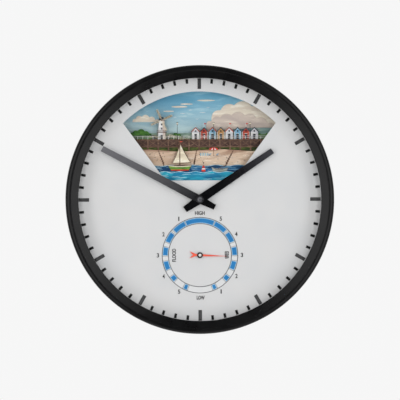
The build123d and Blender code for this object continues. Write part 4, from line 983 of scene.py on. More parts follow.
huts = {"firstX": -4.0, "pitch": 9.4, "base": 67.0, "eave": 76.0, "apex": 80.3, "half": 4.05,
        "colours": ["hut_white", "hut_red", "hut_blue", "hut_ochre", "hut_white", "hut_blue", "hut_red",
                    "hut_white"],
        "redRoofs": [0, 2, 4], "overhang": 0.75, "overhangDrop": 0.5, "roofLift": 0.35, "roofWide": 0.95,
        "corner": 0.5, "door": 2.7, "doorTop": 73.4, "sill": 3.3, "sillTop": 73.85,
        "window": 0.95, "windowRise": 0.6, "windowSteps": 18,
        "flags": [1, 4, 6], "flagPole": 5.5, "poleWide": 0.32, "poleSink": 1.0,
        "flag": [(0.16, -0.2), (0.16, -1.9), (3.0, -1.0)]}
onHuts = layer("hut_row", "case", {
    "walls_hut_white": (0.0, 0.4, "hut_white", 0.1),
    "walls_hut_red": (0.0, 0.4, "hut_red", 0.1),
    "walls_hut_blue": (0.0, 0.4, "hut_blue", 0.1),
    "walls_hut_ochre": (0.0, 0.4, "hut_ochre", 0.1),
    "barge_roof_slate": (0.4, 0.45, "roof_slate", 0.08),
    "barge_roof_red": (0.4, 0.45, "roof_red", 0.08),
    "hut_corners": (0.4, 0.3, "trim_white", 0.05),
    "hut_doors": (0.4, 0.3, "ink_dark", 0.06),
    "hut_sills": (0.7, 0.2, "trim_white", 0.04),
    "hut_windows": (0.4, 0.3, "ink_dark", 0.06),
    "flag_poles": (0.0, 0.4, "trim_white", 0.0),
    "flags": (0.0, 0.4, "signal_red", 0.05),
    "mill_tower": (0.0, 0.4, "hut_white", 0.1),
    "mill_shade": (0.4, 0.1, "cloud_rose", 0.0),
    "mill_cap": (0.0, 0.55, "roof_slate", 0.12),
    "mill_stage": (0.5, 0.25, "rail_brown", 0.0),
    "mill_openings": (0.5, 0.15, "ink_dark", 0.04),
    "mill_sails": (0.65, 0.3, "sail_cream", 0.0),
    "bush_0": (0.0, 0.3, "bush_green", 0.1),
    "bush_1": (0.25, 0.3, "bush_green", 0.1),
    "bush_2": (0.0, 0.3, "bush_green", 0.1),
    "dune_grass": (0.3, 0.2, "grass_gold", 0.0),
    "dune_fence": (0.55, 0.2, "sail_cream", 0.0),
})


def hutWall(x):
    half, base, eave = huts["half"], huts["base"], huts["eave"]
    return [(x - half, base), (x + half, base), (x + half, eave), (x, huts["apex"]), (x - half, eave)]


def hutRoof(x):
    # the two boards along the gable
    edge, top = huts["half"] + huts["overhang"], huts["apex"] + huts["roofLift"]
    foot = huts["eave"] - huts["overhangDrop"]
    return [strip(x + side * edge, foot, x, top, huts["roofWide"]) for side in (-1, 1)]


def hutCorners(x):
    shift = huts["half"] - huts["corner"] / 2
    return [post(x + side * shift, huts["corner"], huts["base"], huts["eave"]) for side in (-1, 1)]


def hutRow():
    middles = [huts["firstX"] + huts["pitch"] * k for k in range(len(huts["colours"]))]
    for colour in sorted(set(huts["colours"])):
        onHuts("walls_" + colour, [hutWall(x) for x, own in zip(middles, huts["colours"]) if own == colour])
    for finish, red in (("roof_slate", False), ("roof_red", True)):
        covered = [x for k, x in enumerate(middles) if (k in huts["redRoofs"]) == red]
        onHuts("barge_" + finish, [part for x in covered for part in hutRoof(x)])
    onHuts("hut_corners", [corner for x in middles for corner in hutCorners(x)])
    onHuts("hut_doors", [post(x, huts["door"], huts["base"], huts["doorTop"]) for x in middles])
    onHuts("hut_sills", [post(x, huts["sill"], huts["doorTop"], huts["sillTop"]) for x in middles])
    high, size = huts["eave"] + huts["windowRise"], huts["window"]
    onHuts("hut_windows", [oval(x, high, size, size, huts["windowSteps"]) for x in middles])
    top, foot = huts["apex"] + huts["flagPole"], huts["apex"] - huts["poleSink"]
    onHuts("flag_poles", [post(middles[k], huts["poleWide"], foot, top) for k in huts["flags"]])
    onHuts("flags", [placed(huts["flag"], middles[k], top) for k in huts["flags"]])


hutRow()

mill = {"x": -42.0, "base": 66.0, "top": 88.6, "foot": 4.6, "head": 3.0, "shadeFoot": 1.3, "shadeHead": 0.9,
        "cap": 3.25, "capSteps": 16,
        "openings": [(2.2, 66.0, 72.4), (1.4, 78.6, 80.6), (1.4, 83.2, 85.2)],
        "hub": [(0, 0.55), (1.0, 0.55), (0.8, 1.1), (0, 1.15)], "hubSteps": 20, "hubRise": 0.4}
gallery = {"height": 75.0, "floor": (10.8, 0.0, 0.6), "rail": (10.6, 2.1, 2.4), "posts": 9, "reach": 5.1,
           "post": (0.26, 0.6, 2.1), "strutTop": 5.0, "strutFoot": 3.9, "strutDrop": 2.4, "strut": 0.35}
sails = {"turn": 24.0, "count": 4, "start": 0.6, "long": 13.0, "wide": 2.3, "spar": 0.5, "bar": 0.28,
         "side": 3.0, "bars": 8, "barFirst": 3.14, "barLast": 12.86}


def millTower(foot, head):
    x, base, top = mill["x"], mill["base"], mill["top"]
    return [(x + foot, base), (x + mill["foot"], base), (x + mill["head"], top), (x + head, top)]


def millGallery():
    spots = spaced(-gallery["reach"], gallery["reach"], gallery["posts"])
    parts = [post(0, *gallery["floor"])] + [post(spot, *gallery["post"]) for spot in spots]
    parts.append(post(0, *gallery["rail"]))
    for side in (-1, 1):
        foot = side * gallery["strutFoot"]
        parts.append(strip(side * gallery["strutTop"], 0, foot, -gallery["strutDrop"], gallery["strut"]))
    return [placed(part, mill["x"], gallery["height"]) for part in parts]


def millSails():
    # one sail, laid out upwards from the hub, and turned for each of the four
    half, long, bar = sails["wide"] / 2 - sails["bar"] / 2, sails["long"], sails["bar"]
    parts = [strip(0, sails["start"], 0, long, sails["spar"])]
    parts += [strip(side, sails["side"], side, long, bar) for side in (-half, half)]
    for along in spaced(sails["barFirst"], sails["barLast"], sails["bars"]):
        parts.append(strip(-half, along, half, along, bar))
    turns = [sails["turn"] + 360 / sails["count"] * k for k in range(sails["count"])]
    return [placed(part, mill["x"], mill["top"] + mill["hubRise"], turn) for turn in turns for part in parts]


def windmill():
    x, top = mill["x"], mill["top"]
    onHuts("mill_tower", [millTower(-mill["foot"], -mill["head"])])
    # the tower's right side is overlaid in the rose tone: painted shade
    onHuts("mill_shade", [millTower(mill["shadeFoot"], mill["shadeHead"])])
    onHuts("mill_cap", [arc(x, top, mill["cap"], mill["cap"], 0, 180, mill["capSteps"])])
    onHuts("mill_stage", millGallery())
    onHuts("mill_openings", [post(x, *opening) for opening in mill["openings"]])
    onHuts("mill_sails", millSails())
    bm = bmesh.new()
    face = -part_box("hut_row")[0].y / mm
    lathe(bm, placed(mill["hub"], 0, face), mill["hubSteps"], x, top + mill["hubRise"], closed=False)
    keep("mill_hub", bm, "rail_brown", "case")


windmill()

# the dune's top is level between a rise and a fall
dune = {"low": 67.0, "high": 72.0, "rise": (-85.4, -52.0), "fall": (-32.0, -12.6), "bushSteps": 50,
        "bushes": [[(-76, 72, 3), (-71, 73.5, 4), (-65, 74.5, 4.6), (-59.5, 73, 3.8), (-55.5, 71.5, 2.6)],
                   [(-69, 70, 2.6), (-64.5, 71, 3.4), (-59.5, 70.4, 2.8)],
                   [(-30, 71, 2.0), (-26.5, 72, 2.8), (-22.5, 71.2, 2.4), (-19.5, 70, 1.6)]],
        "bushBases": [66.5, 66.5, 67.0]}
tufts = {"ends": (-80.0, -13.0), "count": 60, "jitter": 0.6, "sink": (1.3, 2.9), "leans": (-0.8, 0.1, 0.9),
         "tall": (1.7, 3.1), "half": 0.16, "leanShare": 0.5}
fence = {"ends": (-33.5, -11.0), "posts": 12, "drop": 1.2, "post": (0.44, -1.2, 2.6), "rails": (0.6, 1.8),
         "rail": 0.3}


def duneTop(x):
    (foot, top), (edge, end) = dune["rise"], dune["fall"]
    share = min(1, (x - foot) / (top - foot), (end - x) / (end - edge))
    return dune["low"] + (dune["high"] - dune["low"]) * share


def grassTufts():
    blades = []
    left, right = tufts["ends"]
    for k in range(tufts["count"]):
        x = left + (right - left) * (k + tufts["jitter"] * scatter(k, 4)) / tufts["count"]
        foot = duneTop(x) - spread(k, 5, tufts["sink"])
        for lean in tufts["leans"]:
            tall = spread(k + lean, 6, tufts["tall"])
            tip = (lean * tall * tufts["leanShare"], tall)
            blades.append(placed([(-tufts["half"], 0), (tufts["half"], 0), tip], x, foot))
    return blades


def duneFence():
    first, last = [(x, duneTop(x) - fence["drop"]) for x in fence["ends"]]
    spots = spaced(*fence["ends"], fence["posts"])
    rails = [placed(post(0, *fence["post"]), x, duneTop(x) - fence["drop"]) for x in spots]
    for rise in fence["rails"]:
        rails.append(strip(first[0], first[1] + rise, last[0], last[1] + rise, fence["rail"]))
    return rails


for k, balls in enumerate(dune["bushes"]):
    onHuts(f"bush_{k}", [puffs(balls, dune["bushBases"][k], dune["bushSteps"])])
onHuts("dune_grass", grassTufts())
onHuts("dune_fence", duneFence())
print("huts, windmill and dune made")


# Boardwalk and beach

walk = {"top": 67.5, "bottom": 58.5, "reach": 80.0, "pitch": 11.5, "bays": 12, "beam": 0.95, "brace": 0.6,
        "postWide": 1.7, "postFoot": 54.7, "railTop": 71.2, "railThick": 0.4, "railPost": 0.42,
        "railSink": 0.6, "lowRail": (69.0, 69.3), "lamps": [-24.6, 16.2, 57.0],
        "pole": (0.48, 67.0, 84.0), "poleFoot": (1.2, 67.0, 68.5), "lampCap": (2.6, 86.0, 86.5),
        "lampSill": (1.8, 83.6, 84.0), "lampGlass": [(-0.7, 84.0), (0.7, 84.0), (1.0, 86.0), (-1.0, 86.0)]}
onWalk = layer("boardwalk", "case", {
    "walk_beams": (0.0, 0.45, "rail_brown", 0.1),
    "walk_posts": (0.45, 0.25, "rail_brown", 0.08),
    "walk_braces": (0.0, 0.25, "rail_brown", 0.05),
    "walk_rails": (0.0, 0.25, "trim_white", 0.0),
    "lamp_poles": (0.0, 0.3, "ink_dark", 0.04),
    "lamp_heads": (0.0, 0.25, "sail_cream", 0.04),
})


def walkBraces():
    braces = []
    low, high = walk["bottom"] + walk["beam"], walk["top"] - walk["beam"]
    for k in range(walk["bays"]):
        middle, half = walk["pitch"] * (k + 0.5 - walk["bays"] / 2), (walk["pitch"] - walk["postWide"]) / 2
        braces.append(strip(middle - half, low, middle + half, high, walk["brace"]))
        braces.append(strip(middle - half, high, middle + half, low, walk["brace"]))
    return braces


def walkFront():
    wide, top, bottom, beam = 2 * walk["reach"], walk["top"], walk["bottom"], walk["beam"]
    end = walk["pitch"] * walk["bays"] / 2
    railFoot = walk["railTop"] - walk["railThick"]
    onWalk("walk_beams", [post(0, wide, top - beam, top), post(0, wide, bottom, bottom + beam)])
    spots = spaced(-end, end, walk["bays"] + 1)
    onWalk("walk_posts", [post(x, walk["postWide"], walk["postFoot"], top) for x in spots])
    onWalk("walk_braces", walkBraces())
    end += walk["pitch"] / 2
    rails = [post(0, wide, railFoot, walk["railTop"])]
    for x in spaced(-end, end, 2 * walk["bays"] + 3):
        rails.append(post(x, walk["railPost"], top - walk["railSink"], railFoot))
    rails.append(post(0, wide, *walk["lowRail"]))
    onWalk("walk_rails", rails)


def walkLamps():
    parts = ("pole", "poleFoot", "lampCap", "lampSill")
    onWalk("lamp_poles", [post(x, *walk[part]) for x in walk["lamps"] for part in parts])
    onWalk("lamp_heads", [placed(walk["lampGlass"], x, 0) for x in walk["lamps"]])


walkFront()
walkLamps()

lifebuoy = {"x": 5.75, "height": 70.2, "outer": 1.7, "inner": 0.95, "out": (37.1, 37.5), "around": 10,
            "steps": 32, "band": 0.45, "bandFoot": (0.35, 0.2)}


def lifeRing():
    bm = bmesh.new()
    back, front = lifebuoy["out"]
    outer, inner = lifebuoy["outer"], lifebuoy["inner"]
    wide, deep = (outer - inner) / 2, (front - back) / 2
    profile = oval(inner + wide, back + deep, wide, deep, lifebuoy["around"])
    lathe(bm, profile, lifebuoy["steps"], lifebuoy["x"], lifebuoy["height"])
    share, (less, more) = lifebuoy["band"], lifebuoy["bandFoot"]
    for face in bm.faces:
        centre = face.calc_center_median()
        across, up = abs(centre.x / mm - lifebuoy["x"]), abs(centre.z / mm - lifebuoy["height"])
        face.material_index = int(across > share * up + less and up > share * across - more)
    keep("life_ring", bm, ["trim_white", "signal_red"], "case")


lifeRing()

# each groyne: x at its top, x at its foot, width of its posts
groyne = {"places": [(-46, -40, 0.9), (-3, -6, 1.0), (38, 30, 0.9)], "low": 39.0, "high": 54.5, "posts": 8,
          "wide": (0.7, 1.2), "tall": (1.6, 3.2), "plankShare": 0.55, "plankLap": 0.2}
stones = {"count": 90, "across": (-62, 62), "heights": (41.5, 53.0), "size": 0.22, "grows": 0.45,
          "wide": 1.4, "high": 0.8, "steps": 10, "edge": 41.3, "edgeFoot": 21.4, "slope": 0.736}
ripples = {"count": 26, "across": (-55, 55), "heights": (40.6, 49.6), "long": (3.0, 8.0), "high": 0.16,
           "steps": 20}
onSand = layer("beach_layer", "case", {
    "groyne_planks": (0.0, 0.2, "scene_walk", 0.0),
    "groyne_posts": (0.0, 0.35, "rail_brown", 0.06),
    "beach_stones": (0.0, 0.2, "stone_grey", 0.0),
    "sand_ripples": (0.0, 0.1, "cloud_rose", 0.0),
    "parasol_shade": (0.3, 0.25, "signal_red", 0.08),
    "parasol_slices": (0.55, 0.1, "trim_white", 0.0),
    "camp_sticks": (0.0, 0.3, "rail_brown", 0.0),
    "camp_cloths": (0.3, 0.2, "hut_blue", 0.04),
    "camp_pales": (0.3, 0.2, "sail_cream", 0.04),
})


def groynes():
    posts, planks = [], []
    for top, foot, width in groyne["places"]:
        places = []
        for share in spaced(0, 1, groyne["posts"]):
            x, height = between((top, foot), share), between((groyne["high"], groyne["low"]), share)
            tall = between(groyne["tall"], share)
            posts.append(post(x, width * between(groyne["wide"], share), height - tall / 2, height + tall))
            places.append((x, height, tall * groyne["plankShare"]))
        lap = groyne["plankLap"]
        for (x0, h0, t0), (x1, h1, t1) in zip(places, places[1:]):
            planks.append([(x0, h0 + lap), (x0, h0 + t0), (x1, h1 + t1), (x1, h1 - lap)])
    onSand("groyne_planks", planks)
    onSand("groyne_posts", posts)


def beachStones():
    # only where the slanting sides of the window show the sand
    found = []
    for k in range(stones["count"]):
        x, height = spread(k, 7, stones["across"]), spread(k, 8, stones["heights"])
        if abs(x) < stones["edge"] + stones["slope"] * (height - stones["edgeFoot"]):
            size = stones["size"] + stones["grows"] * scatter(k, 9) ** 2
            found.append(oval(x, height, size * stones["wide"], size * stones["high"], stones["steps"]))
    return found


def sandRipples():
    found = []
    for k in range(ripples["count"]):
        x, height = spread(k, 10, ripples["across"]), spread(k, 11, ripples["heights"])
        found.append(oval(x, height, spread(k, 12, ripples["long"]), ripples["high"], ripples["steps"]))
    return found


groynes()
onSand("beach_stones", beachStones())
onSand("sand_ripples", sandRipples())

# parasol, striped windbreak and two deck chairs, with places from the parasol's foot
camp = {"x": 16.0, "ground": 48.6, "shade": (5.2, 2.7), "shadeRise": 7.0, "shadeSteps": 14,
        "slice": [(1.0, 7.0), (3.0, 7.0), (0.9, 9.5)], "pole": (0.4, 0.0, 10.3), "cloths": 7,
        "clothFirst": -15.0, "clothPitch": 1.3, "cloth": (0.4, 3.4), "clothPost": (0.32, -0.2, 4.2),
        "chairs": (-4.4, 4.0), "chairBars": [(-1.6, -0.4, 1.7, 3.0, 0.3), (1.4, -0.4, -1.3, 1.6, 0.3)],
        "seat": [(-1.2, 1.2), (-0.9, 1.8), (1.5, 3.3), (1.9, 3.0), (0.2, 0.9)]}


def beachCamp():
    pitch, first = camp["clothPitch"], camp["clothFirst"]
    shade = arc(0, camp["shadeRise"], *camp["shade"], 0, 180, camp["shadeSteps"])
    slices = [[(side * x, height) for x, height in camp["slice"]] for side in (-1, 1)]
    cloths = [post(first + pitch * (k + 0.5), pitch, *camp["cloth"]) for k in range(camp["cloths"])]
    sticks = [post(0, *camp["pole"])]
    sticks += [post(first + pitch * k, *camp["clothPost"]) for k in range(0, camp["cloths"] + 1, 2)]
    seats = []
    for x in camp["chairs"]:
        sticks += [placed(strip(*bar), x, 0) for bar in camp["chairBars"]]
        seats.append(placed(camp["seat"], x, 0))
    parts = {"parasol_shade": [shade], "parasol_slices": slices, "camp_sticks": sticks,
             "camp_cloths": cloths[::2] + seats, "camp_pales": cloths[1::2]}
    addAt(onSand, camp["x"], camp["ground"], parts)


beachCamp()
print("boardwalk and beach made")


# Sea, boats and buoy: all on the sliding carriage

# foam: height of the crest, number of swells, thickness, salt; glints: lowest and highest, length, first salt
sea = {"reach": 62.0, "inset": 0.2, "swell": 0.7, "steps": 120,
       "foam_back": (38.2, 5, 0.45, 20), "foam_front": (31.0, 7, 0.55, 21), "drop": 0.1,
       "thin": 0.35, "thick": 0.65, "often": 0.31, "ragged": 0.3}
glints = {"count": 46, "across": (-50, 50), "long": (0.4, 1.4), "high": (0.13, 0.25), "steps": 14,
          "glints_back": (31.5, 36.5, 4.5, 22), "glints_front": (13.5, 29.3, 5.0, 26)}
onBackSea = layer("wave_back", "sea", {
    "foam_back": (0.0, 0.25, "foam_white", 0.04),
    "glints_back": (0.0, 0.15, "hut_blue", 0.0),
})
onFrontSea = layer("wave_front", "sea", {
    "foam_front": (0.0, 0.25, "foam_white", 0.04),
    "glints_front": (0.0, 0.15, "foam_white", 0.0),
})


def foamLine(top, count, thick, salt):
    # a ribbon of foam just under a crest, thick and thin by turns
    upper, lower = [], []
    half = sea["reach"] - sea["inset"]
    for k, x in enumerate(spaced(-half, half, sea["steps"] + 1)):
        height = top + sea["swell"] * sin(pi * count * (x / sea["reach"] + 1)) - sea["drop"]
        wave = sea["thin"] + sea["thick"] * abs(sin(k * sea["often"] + salt))
        upper.append((x, height))
        lower.append((x, height - thick * (wave + sea["ragged"] * scatter(k, salt))))
    return lower + upper[::-1]


def glintStrokes(low, high, long, salt):
    made = []
    for k in range(glints["count"]):
        x, height = spread(k, salt, glints["across"]), spread(k, salt + 1, (low, high))
        wide, tall = long * spread(k, salt + 2, glints["long"]), spread(k, salt + 3, glints["high"])
        made.append(oval(x, height, wide, tall, glints["steps"]))
    return made


onBackSea("foam_back", [foamLine(*sea["foam_back"])])
onFrontSea("foam_front", [foamLine(*sea["foam_front"])])
onBackSea("glints_back", glintStrokes(*glints["glints_back"]))
onFrontSea("glints_front", glintStrokes(*glints["glints_front"]))

# outlines from the foot of the mast, at the keel
sailboat = {"x": -22.0, "keel": 32.0,
            "boat_hull": [(-9.6, 0.3), (9.6, 0.3), (12.9, 6.1), (4, 5.4), (-4, 5.4), (-13.0, 6.3)],
            "boat_gunwale": [(-12.9, 5.5), (-4, 4.5), (4, 4.5), (12.6, 5.3), (12.9, 6.1), (4, 5.4), (-4, 5.4),
                             (-13.0, 6.3)],
            "boat_waterline": [(-9.6, 0.3), (9.6, 0.3), (10.4, 1.6), (-10.5, 1.6)],
            "mainSail": [(0.5, 9.1), (11.6, 9.7), (8.0, 15.3), (3.6, 23.3), (0.5, 30.1)],
            "jib": [(-0.5, 9.1), (-0.5, 25.8), (-4.2, 16.2), (-7.9, 9.0)],
            "boom": (0, 8.5, 12.3, 9.2, 0.6), "mastPost": (0.8, 5.4, 33.2),
            "pennant": [(0.2, 33.4), (0.2, 31.9), (4.0, 32.9)],
            "sailFoot": 8.8, "seam": 0.16,
            "mainSeams": ((4.6, 8.8, 13.0, 17.2), 0.6, 11.3, 22.2, 0.4),
            "jibSeams": ((3.9, 7.8, 11.7), -0.6, -7.6, 18.2, -0.3)}
onBoat = layer("dinghy", "sea", {
    "boat_hull": (0.0, 0.4, "hull_green", 0.12),
    "boat_gunwale": (0.4, 0.2, "sail_cream", 0.04),
    "boat_waterline": (0.4, 0.1, "signal_red", 0.0),
    "boat_sails": (0.0, 0.3, "sail_cream", 0.08),
    "boat_seams": (0.3, 0.1, "cloud_rose", 0.0),
    "boat_spars": (0.0, 0.45, "rail_brown", 0.06),
    "boat_pennant": (0.0, 0.3, "signal_red", 0.04),
})


def seams(heights, start, reach, high, rise):
    # nearly level seams of a sail, each as long as the sail is wide there
    foot = sailboat["sailFoot"]
    return [strip(start, foot + height, reach * (1 - height / high), foot + height + rise, sailboat["seam"])
            for height in heights]


def sailingBoat():
    parts = {name: [sailboat[name]] for name in ("boat_hull", "boat_gunwale", "boat_waterline")}
    parts["boat_sails"] = [sailboat["mainSail"], sailboat["jib"]]
    parts["boat_seams"] = seams(*sailboat["mainSeams"]) + seams(*sailboat["jibSeams"])
    parts["boat_spars"] = [post(0, *sailboat["mastPost"]), strip(*sailboat["boom"])]
    parts["boat_pennant"] = [sailboat["pennant"]]
    addAt(onBoat, sailboat["x"], sailboat["keel"], parts)


sailingBoat()

# outlines from the middle of the keel
rowboat = {"x": 23.0, "keel": 30.0,
           "hull": [(-7.2, 0), (6.4, 0), (9.4, 5.6), (3, 4.7), (-4, 4.6), (-9.6, 6.1)],
           "inside": [(-8.6, 5.5), (-4, 4.3), (3, 4.4), (8.3, 5.3), (3, 3.6), (-4, 3.5)],
           "oar": (-5.5, 3.0, 6.2, 8.2, 0.34), "blade": (4.4, 7.0, 6.6, 8.5, 0.8)}
# outlines from the middle of the band's lower edge
buoy = {"x": 4.5, "height": 33.6,
        "body": [(-2.1, -2.4), (2.1, -2.4), (2.1, 0), (0.8, 4.4), (-0.8, 4.4), (-2.1, 0)],
        "band": [(-2.1, 0), (2.1, 0), (1.65, 1.2), (-1.65, 1.2)], "staff": (0.32, 4.4, 7.0),
        "ball": (0, 7.4, 0.75, 0.75, 16)}
onWater = layer("wave_back", "sea", {
    "rowing_hull": (0.0, 0.5, "hull_grey", 0.12),
    "rowing_inside": (0.5, 0.1, "scene_walk", 0.0),
    "rowing_oar": (0.5, 0.25, "rail_brown", 0.0),
    "buoy_body": (0.05, 0.6, "signal_red", 0.2),
    "buoy_band": (0.65, 0.1, "trim_white", 0.0),
    "buoy_top": (0.05, 0.4, "ink_dark", 0.04),
})


def rowingBoat():
    parts = {"rowing_hull": [rowboat["hull"]], "rowing_inside": [rowboat["inside"]],
             "rowing_oar": [strip(*rowboat["oar"]), strip(*rowboat["blade"])]}
    addAt(onWater, rowboat["x"], rowboat["keel"], parts)


def redBuoy():
    parts = {"buoy_body": [buoy["body"]], "buoy_band": [buoy["band"]],
             "buoy_top": [post(0, *buoy["staff"]), oval(*buoy["ball"])]}
    addAt(onWater, buoy["x"], buoy["height"], parts)


rowingBoat()
redBuoy()
print("sea made")


# Rear of the clock and the movements

# eased copies: the construction piece, the eased edge, the body that it rides on, and its crease in degrees
rear = {"drum_shell": ("case_drum", 0.3, "case", 20), "back_cover": ("back_plate", 0.3, "case", 20),
        "hanger_plate": ("keyhole_hanger", 0.2, "case", 20),
        "clock_knob_grip": ("clock_setting_knob", 0.22, "clock_knob", 20),
        "tide_knob_grip": ("tide_setting_knob", 0.22, "tide_knob", 20),
        "clock_cell": ("clock_battery", 0.45, "case", 40), "tide_cell": ("tide_battery", 0.45, "case", 40)}
for name, (node, width, body, crease) in rear.items():
    eased(name, node, width, body, crease=crease)

# half profile of a screw in (radius, out); one arm of its cross in (along, across), turned four times
screws = {"count": 6, "first": 30.0, "reach": 138.0, "steps": 32, "crossDeep": 1.0,
          "profile": [(0, 0.02), (2.88, 0.02), (2.88, 0.15), (1.5, 1.6), (1.5, 8.0), (0, 8.0)],
          "arm": [(1.5, -0.31), (1.5, 0.31), (0.31, 0.31)]}


def backScrews():
    bm, crosses = bmesh.new(), bmesh.new()
    for k in range(screws["count"]):
        turn = screws["first"] + 360 * k / screws["count"]
        x, height = screws["reach"] * cos(radians(turn)), screws["reach"] * sin(radians(turn))
        single = bmesh.new()
        lathe(single, screws["profile"], screws["steps"], x, height, closed=False)
        mesh = asMesh("screw", single)
        bm.from_mesh(mesh)
        bpy.data.meshes.remove(mesh)
        arms = [placed(screws["arm"], x, height, turn + 90 * quarter) for quarter in range(4)]
        board(crosses, sum(arms, []), -screws["crossDeep"], screws["crossDeep"])
    keep("back_screw_set", bored(bm, crosses), "screw_black", "case", stands=["back_screws"])


backScrews()

knobArrows = {"out": (4.35, 4.6), "radius": 4.1, "wide": 0.8, "turns": (30, 300), "steps": 24,
              "head": [(1.275, 0), (0, 2.38), (-1.275, 0)], "soft": 0.05,
              "places": {"clock": (-12.0, 12.0), "tide": (-12.0, -50.2)}}


def knobArrow(prefix, x, height):
    # a raised arrow round the knob's rear face, for setting
    start, end = knobArrows["turns"]
    radius, half = knobArrows["radius"], knobArrows["wide"] / 2
    outer, inner = [arc(x, height, reach, reach, start, end, knobArrows["steps"])
                    for reach in (radius + half, radius - half)]
    tip = (x + radius * cos(radians(end)), height + radius * sin(radians(end)))
    outline = outer + placed(knobArrows["head"], *tip, end) + inner[::-1]
    boards(prefix + "_knob_arrow", [outline], knobArrows["out"], "pad_white", prefix + "_knob",
           knobArrows["soft"])


for prefix, place in knobArrows["places"].items():
    knobArrow(prefix, *place)

cellSigns = {"out": (8.3, 8.9), "reach": 20.4, "size": 3.0, "bar": 0.55,
             "heights": {"clock": -19.6, "tide": -81.8}}
for prefix, height in cellSigns["heights"].items():
    reach, size, bar = cellSigns["reach"], cellSigns["size"], cellSigns["bar"]
    level = post(0, size, -bar / 2, bar / 2)
    plus = [placed(part, reach, height) for part in (level, post(0, bar, -size / 2, size / 2))]
    boards(prefix + "_cell_plus", plus, cellSigns["out"], "ink_dark", "case")
    boards(prefix + "_cell_minus", [placed(level, -reach, height)], cellSigns["out"], "trim_white", "case")

# profiles in (radius, out from the board's face)
circuit = {"chip": [(0, -0.05), (3.4, -0.05), (2.788, 0.35), (1.36, 0.55), (0, 0.6)], "chipSteps": 28,
           "chipPlace": (-18.0, 20.6), "joint": [(0, -0.05), (0.55, -0.05), (0.35, 0.2), (0, 0.28)],
           "jointSteps": 12, "joints": 6, "jointFirst": -22, "jointPitch": 4.6, "jointHeight": 16.2,
           "crease": 60, "offsets": {"clock": 0.0, "tide": -62.2}}


def circuitParts(prefix, shift):
    # sealed chip and solder joints on the movement's board
    face = -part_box("circuit_boards")[0].y / mm
    chip, joints = bmesh.new(), bmesh.new()
    x, height = circuit["chipPlace"]
    lathe(chip, placed(circuit["chip"], 0, face), circuit["chipSteps"], x, height + shift, closed=False)
    keep(prefix + "_chip", chip, "movement_black", "case", circuit["crease"])
    profile = placed(circuit["joint"], 0, face)
    for k in range(circuit["joints"]):
        x, height = circuit["jointFirst"] + circuit["jointPitch"] * k, circuit["jointHeight"] + shift
        lathe(joints, profile, circuit["jointSteps"], x, height, closed=False)
    keep(prefix + "_joints", joints, "steel", "case", circuit["crease"])


for prefix, shift in circuit["offsets"].items():
    circuitParts(prefix, shift)
print("rear and movements dressed")


# Studio

# edges are shares of a direction: aside along x, ahead of the dial at negative y, behind it at positive y
studio = {"pale": 0.925, "ambient": 0.5, "front": 0.03, "side": 0.12, "dimEdges": (-0.6, 0.0),
          "boxes": 0.95, "boxAside": (0.25, 0.75), "boxAhead": (-0.55, -0.1), "behind": (0.4, 0.9)}


def greys(level):
    return (level, level, level, 1)


def studioWorld():
    # pale to the eye, also through glass; gloss sees the pale part behind the clock, and in front
    # two broad soft boxes in a dim room
    world = bpy.data.worlds.new("studio")
    bpy.context.scene.world = world
    world.use_nodes = True
    world.cycles.sampling_method = "NONE"
    tree = world.node_tree
    path = addNode(tree, "ShaderNodeLightPath").outputs
    way = axes(tree, addNode(tree, "ShaderNodeTexCoord").outputs["Generated"])
    aside = ramp(tree, calc(tree, "ABSOLUTE", way["X"]), *studio["boxAside"])
    boxes = calc(tree, "MULTIPLY", aside, ramp(tree, way["Y"], *studio["boxAhead"], 1, 0))
    dim = ramp(tree, way["Y"], *studio["dimEdges"], studio["front"], studio["side"])
    room = calc(tree, "MULTIPLY_ADD", boxes, studio["boxes"], dim)
    seen = mix(tree, ramp(tree, way["Y"], *studio["behind"]), room, greys(studio["pale"]))
    light = mix(tree, path["Is Glossy Ray"], greys(studio["ambient"]), seen)
    direct = calc(tree, "MAXIMUM", path["Is Camera Ray"], path["Is Transmission Ray"])
    feed(tree, tree.nodes["Background"].inputs["Color"], mix(tree, direct, light, greys(studio["pale"])))


# in metres: lamps, floor and the camera's distance and clip
lamps = {
    "leftBox": {"from": (-0.6, -1.72, 0.03), "size": (0.3, 0.9), "power": 5.9},
    "rightBox": {"from": (0.6, -1.72, 0.03), "size": (0.3, 0.9), "power": 5.9},
    "leftWing": {"from": (-1.25, -1.05, 0.0), "size": (0.45, 3.2), "power": 8.4},
    "rightWing": {"from": (1.25, -1.05, 0.0), "size": (0.45, 3.2), "power": 8.4},
    "rearLeft": {"from": (-0.55, 1.7, 0.7), "size": (0.8, 0.8), "power": 12.0},
    "rearRight": {"from": (0.7, 1.7, 0.4), "size": (0.8, 0.8), "power": 9.0},
}


def softLamp(name, spec):
    # hidden from gloss, because the world holds what gloss sees
    lamp = bpy.data.lights.new(name, "AREA")
    lamp.shape = "RECTANGLE"
    lamp.size, lamp.size_y = spec["size"]
    lamp.energy = spec["power"]
    holder = show(name, lamp)
    holder.visible_glossy = False
    holder.location = spec["from"]
    holder.rotation_euler = (-Vector(spec["from"])).to_track_quat("-Z", "Y").to_euler()


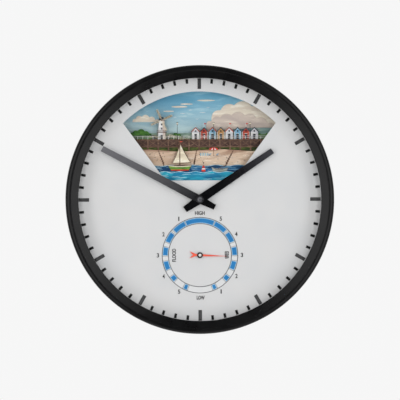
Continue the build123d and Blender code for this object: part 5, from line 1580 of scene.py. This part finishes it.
floor = {"drop": 1.1, "size": 0.5, "shade": 0.2, "fade": (0.1, 0.475), "cuts": 4,
         "tones": ((182, 182, 182), (176, 176, 176)), "patches": 3, "rough": 0.8}


def paleFloor():
    # takes a faint shade, and looks like the pale room from above, fully so at its edge
    material, tree, shader, vector = newMaterial("floor_pale")
    shader.inputs["Roughness"].default_value = floor["rough"]
    tone = toned(tree, vector, floor["tones"], floor["patches"])
    feed(tree, shader.inputs["Base Color"], tone["Color"])
    edge = ramp(tree, reachOf(tree, vector, 1, 1, 0), *floor["fade"])
    own = calc(tree, "MULTIPLY", calc(tree, "SUBTRACT", 1.0, edge), floor["shade"])
    seen = addNode(tree, "ShaderNodeLightPath").outputs["Is Camera Ray"]
    glow = addNode(tree, "ShaderNodeEmission", values={"Color": greys(studio["pale"])})
    blendOut(tree, calc(tree, "MULTIPLY", seen, calc(tree, "SUBTRACT", 1.0, own)), shader, glow)
    bm = bmesh.new()
    bmesh.ops.create_grid(bm, x_segments=floor["cuts"], y_segments=floor["cuts"], size=floor["size"],
                          matrix=Matrix.Translation((0, 0, -floor["drop"])))
    mesh = asMesh("floor", bm)
    mesh.materials.append(material)
    show("floor", mesh)


camera = {"distance": 4.0, "frameWidth": 446.1, "plane": 58.5, "drop": 0.56, "sensor": 36.0,
          "azimuth": -2.0, "roll": 0.24, "clip": (0.05, 20)}


def photoCamera():
    lens = bpy.data.cameras.new("camera")
    lens.sensor_width = camera["sensor"]
    lens.lens = camera["sensor"] * camera["distance"] / (camera["frameWidth"] * mm)
    lens.clip_start, lens.clip_end = camera["clip"]
    holder = show("camera", lens)
    turn = radians(camera["azimuth"])
    back = Vector((sin(turn), -cos(turn), 0)) * camera["distance"]
    holder.location = at(0, -camera["drop"], camera["plane"]) + back
    holder.rotation_euler = (pi / 2, radians(camera["roll"]), turn)
    bpy.context.scene.camera = holder


studioWorld()
paleFloor()
for name, spec in lamps.items():
    softLamp(name, spec)
photoCamera()
bpy.context.scene.view_settings.view_transform = "Standard"
print("studio lit")
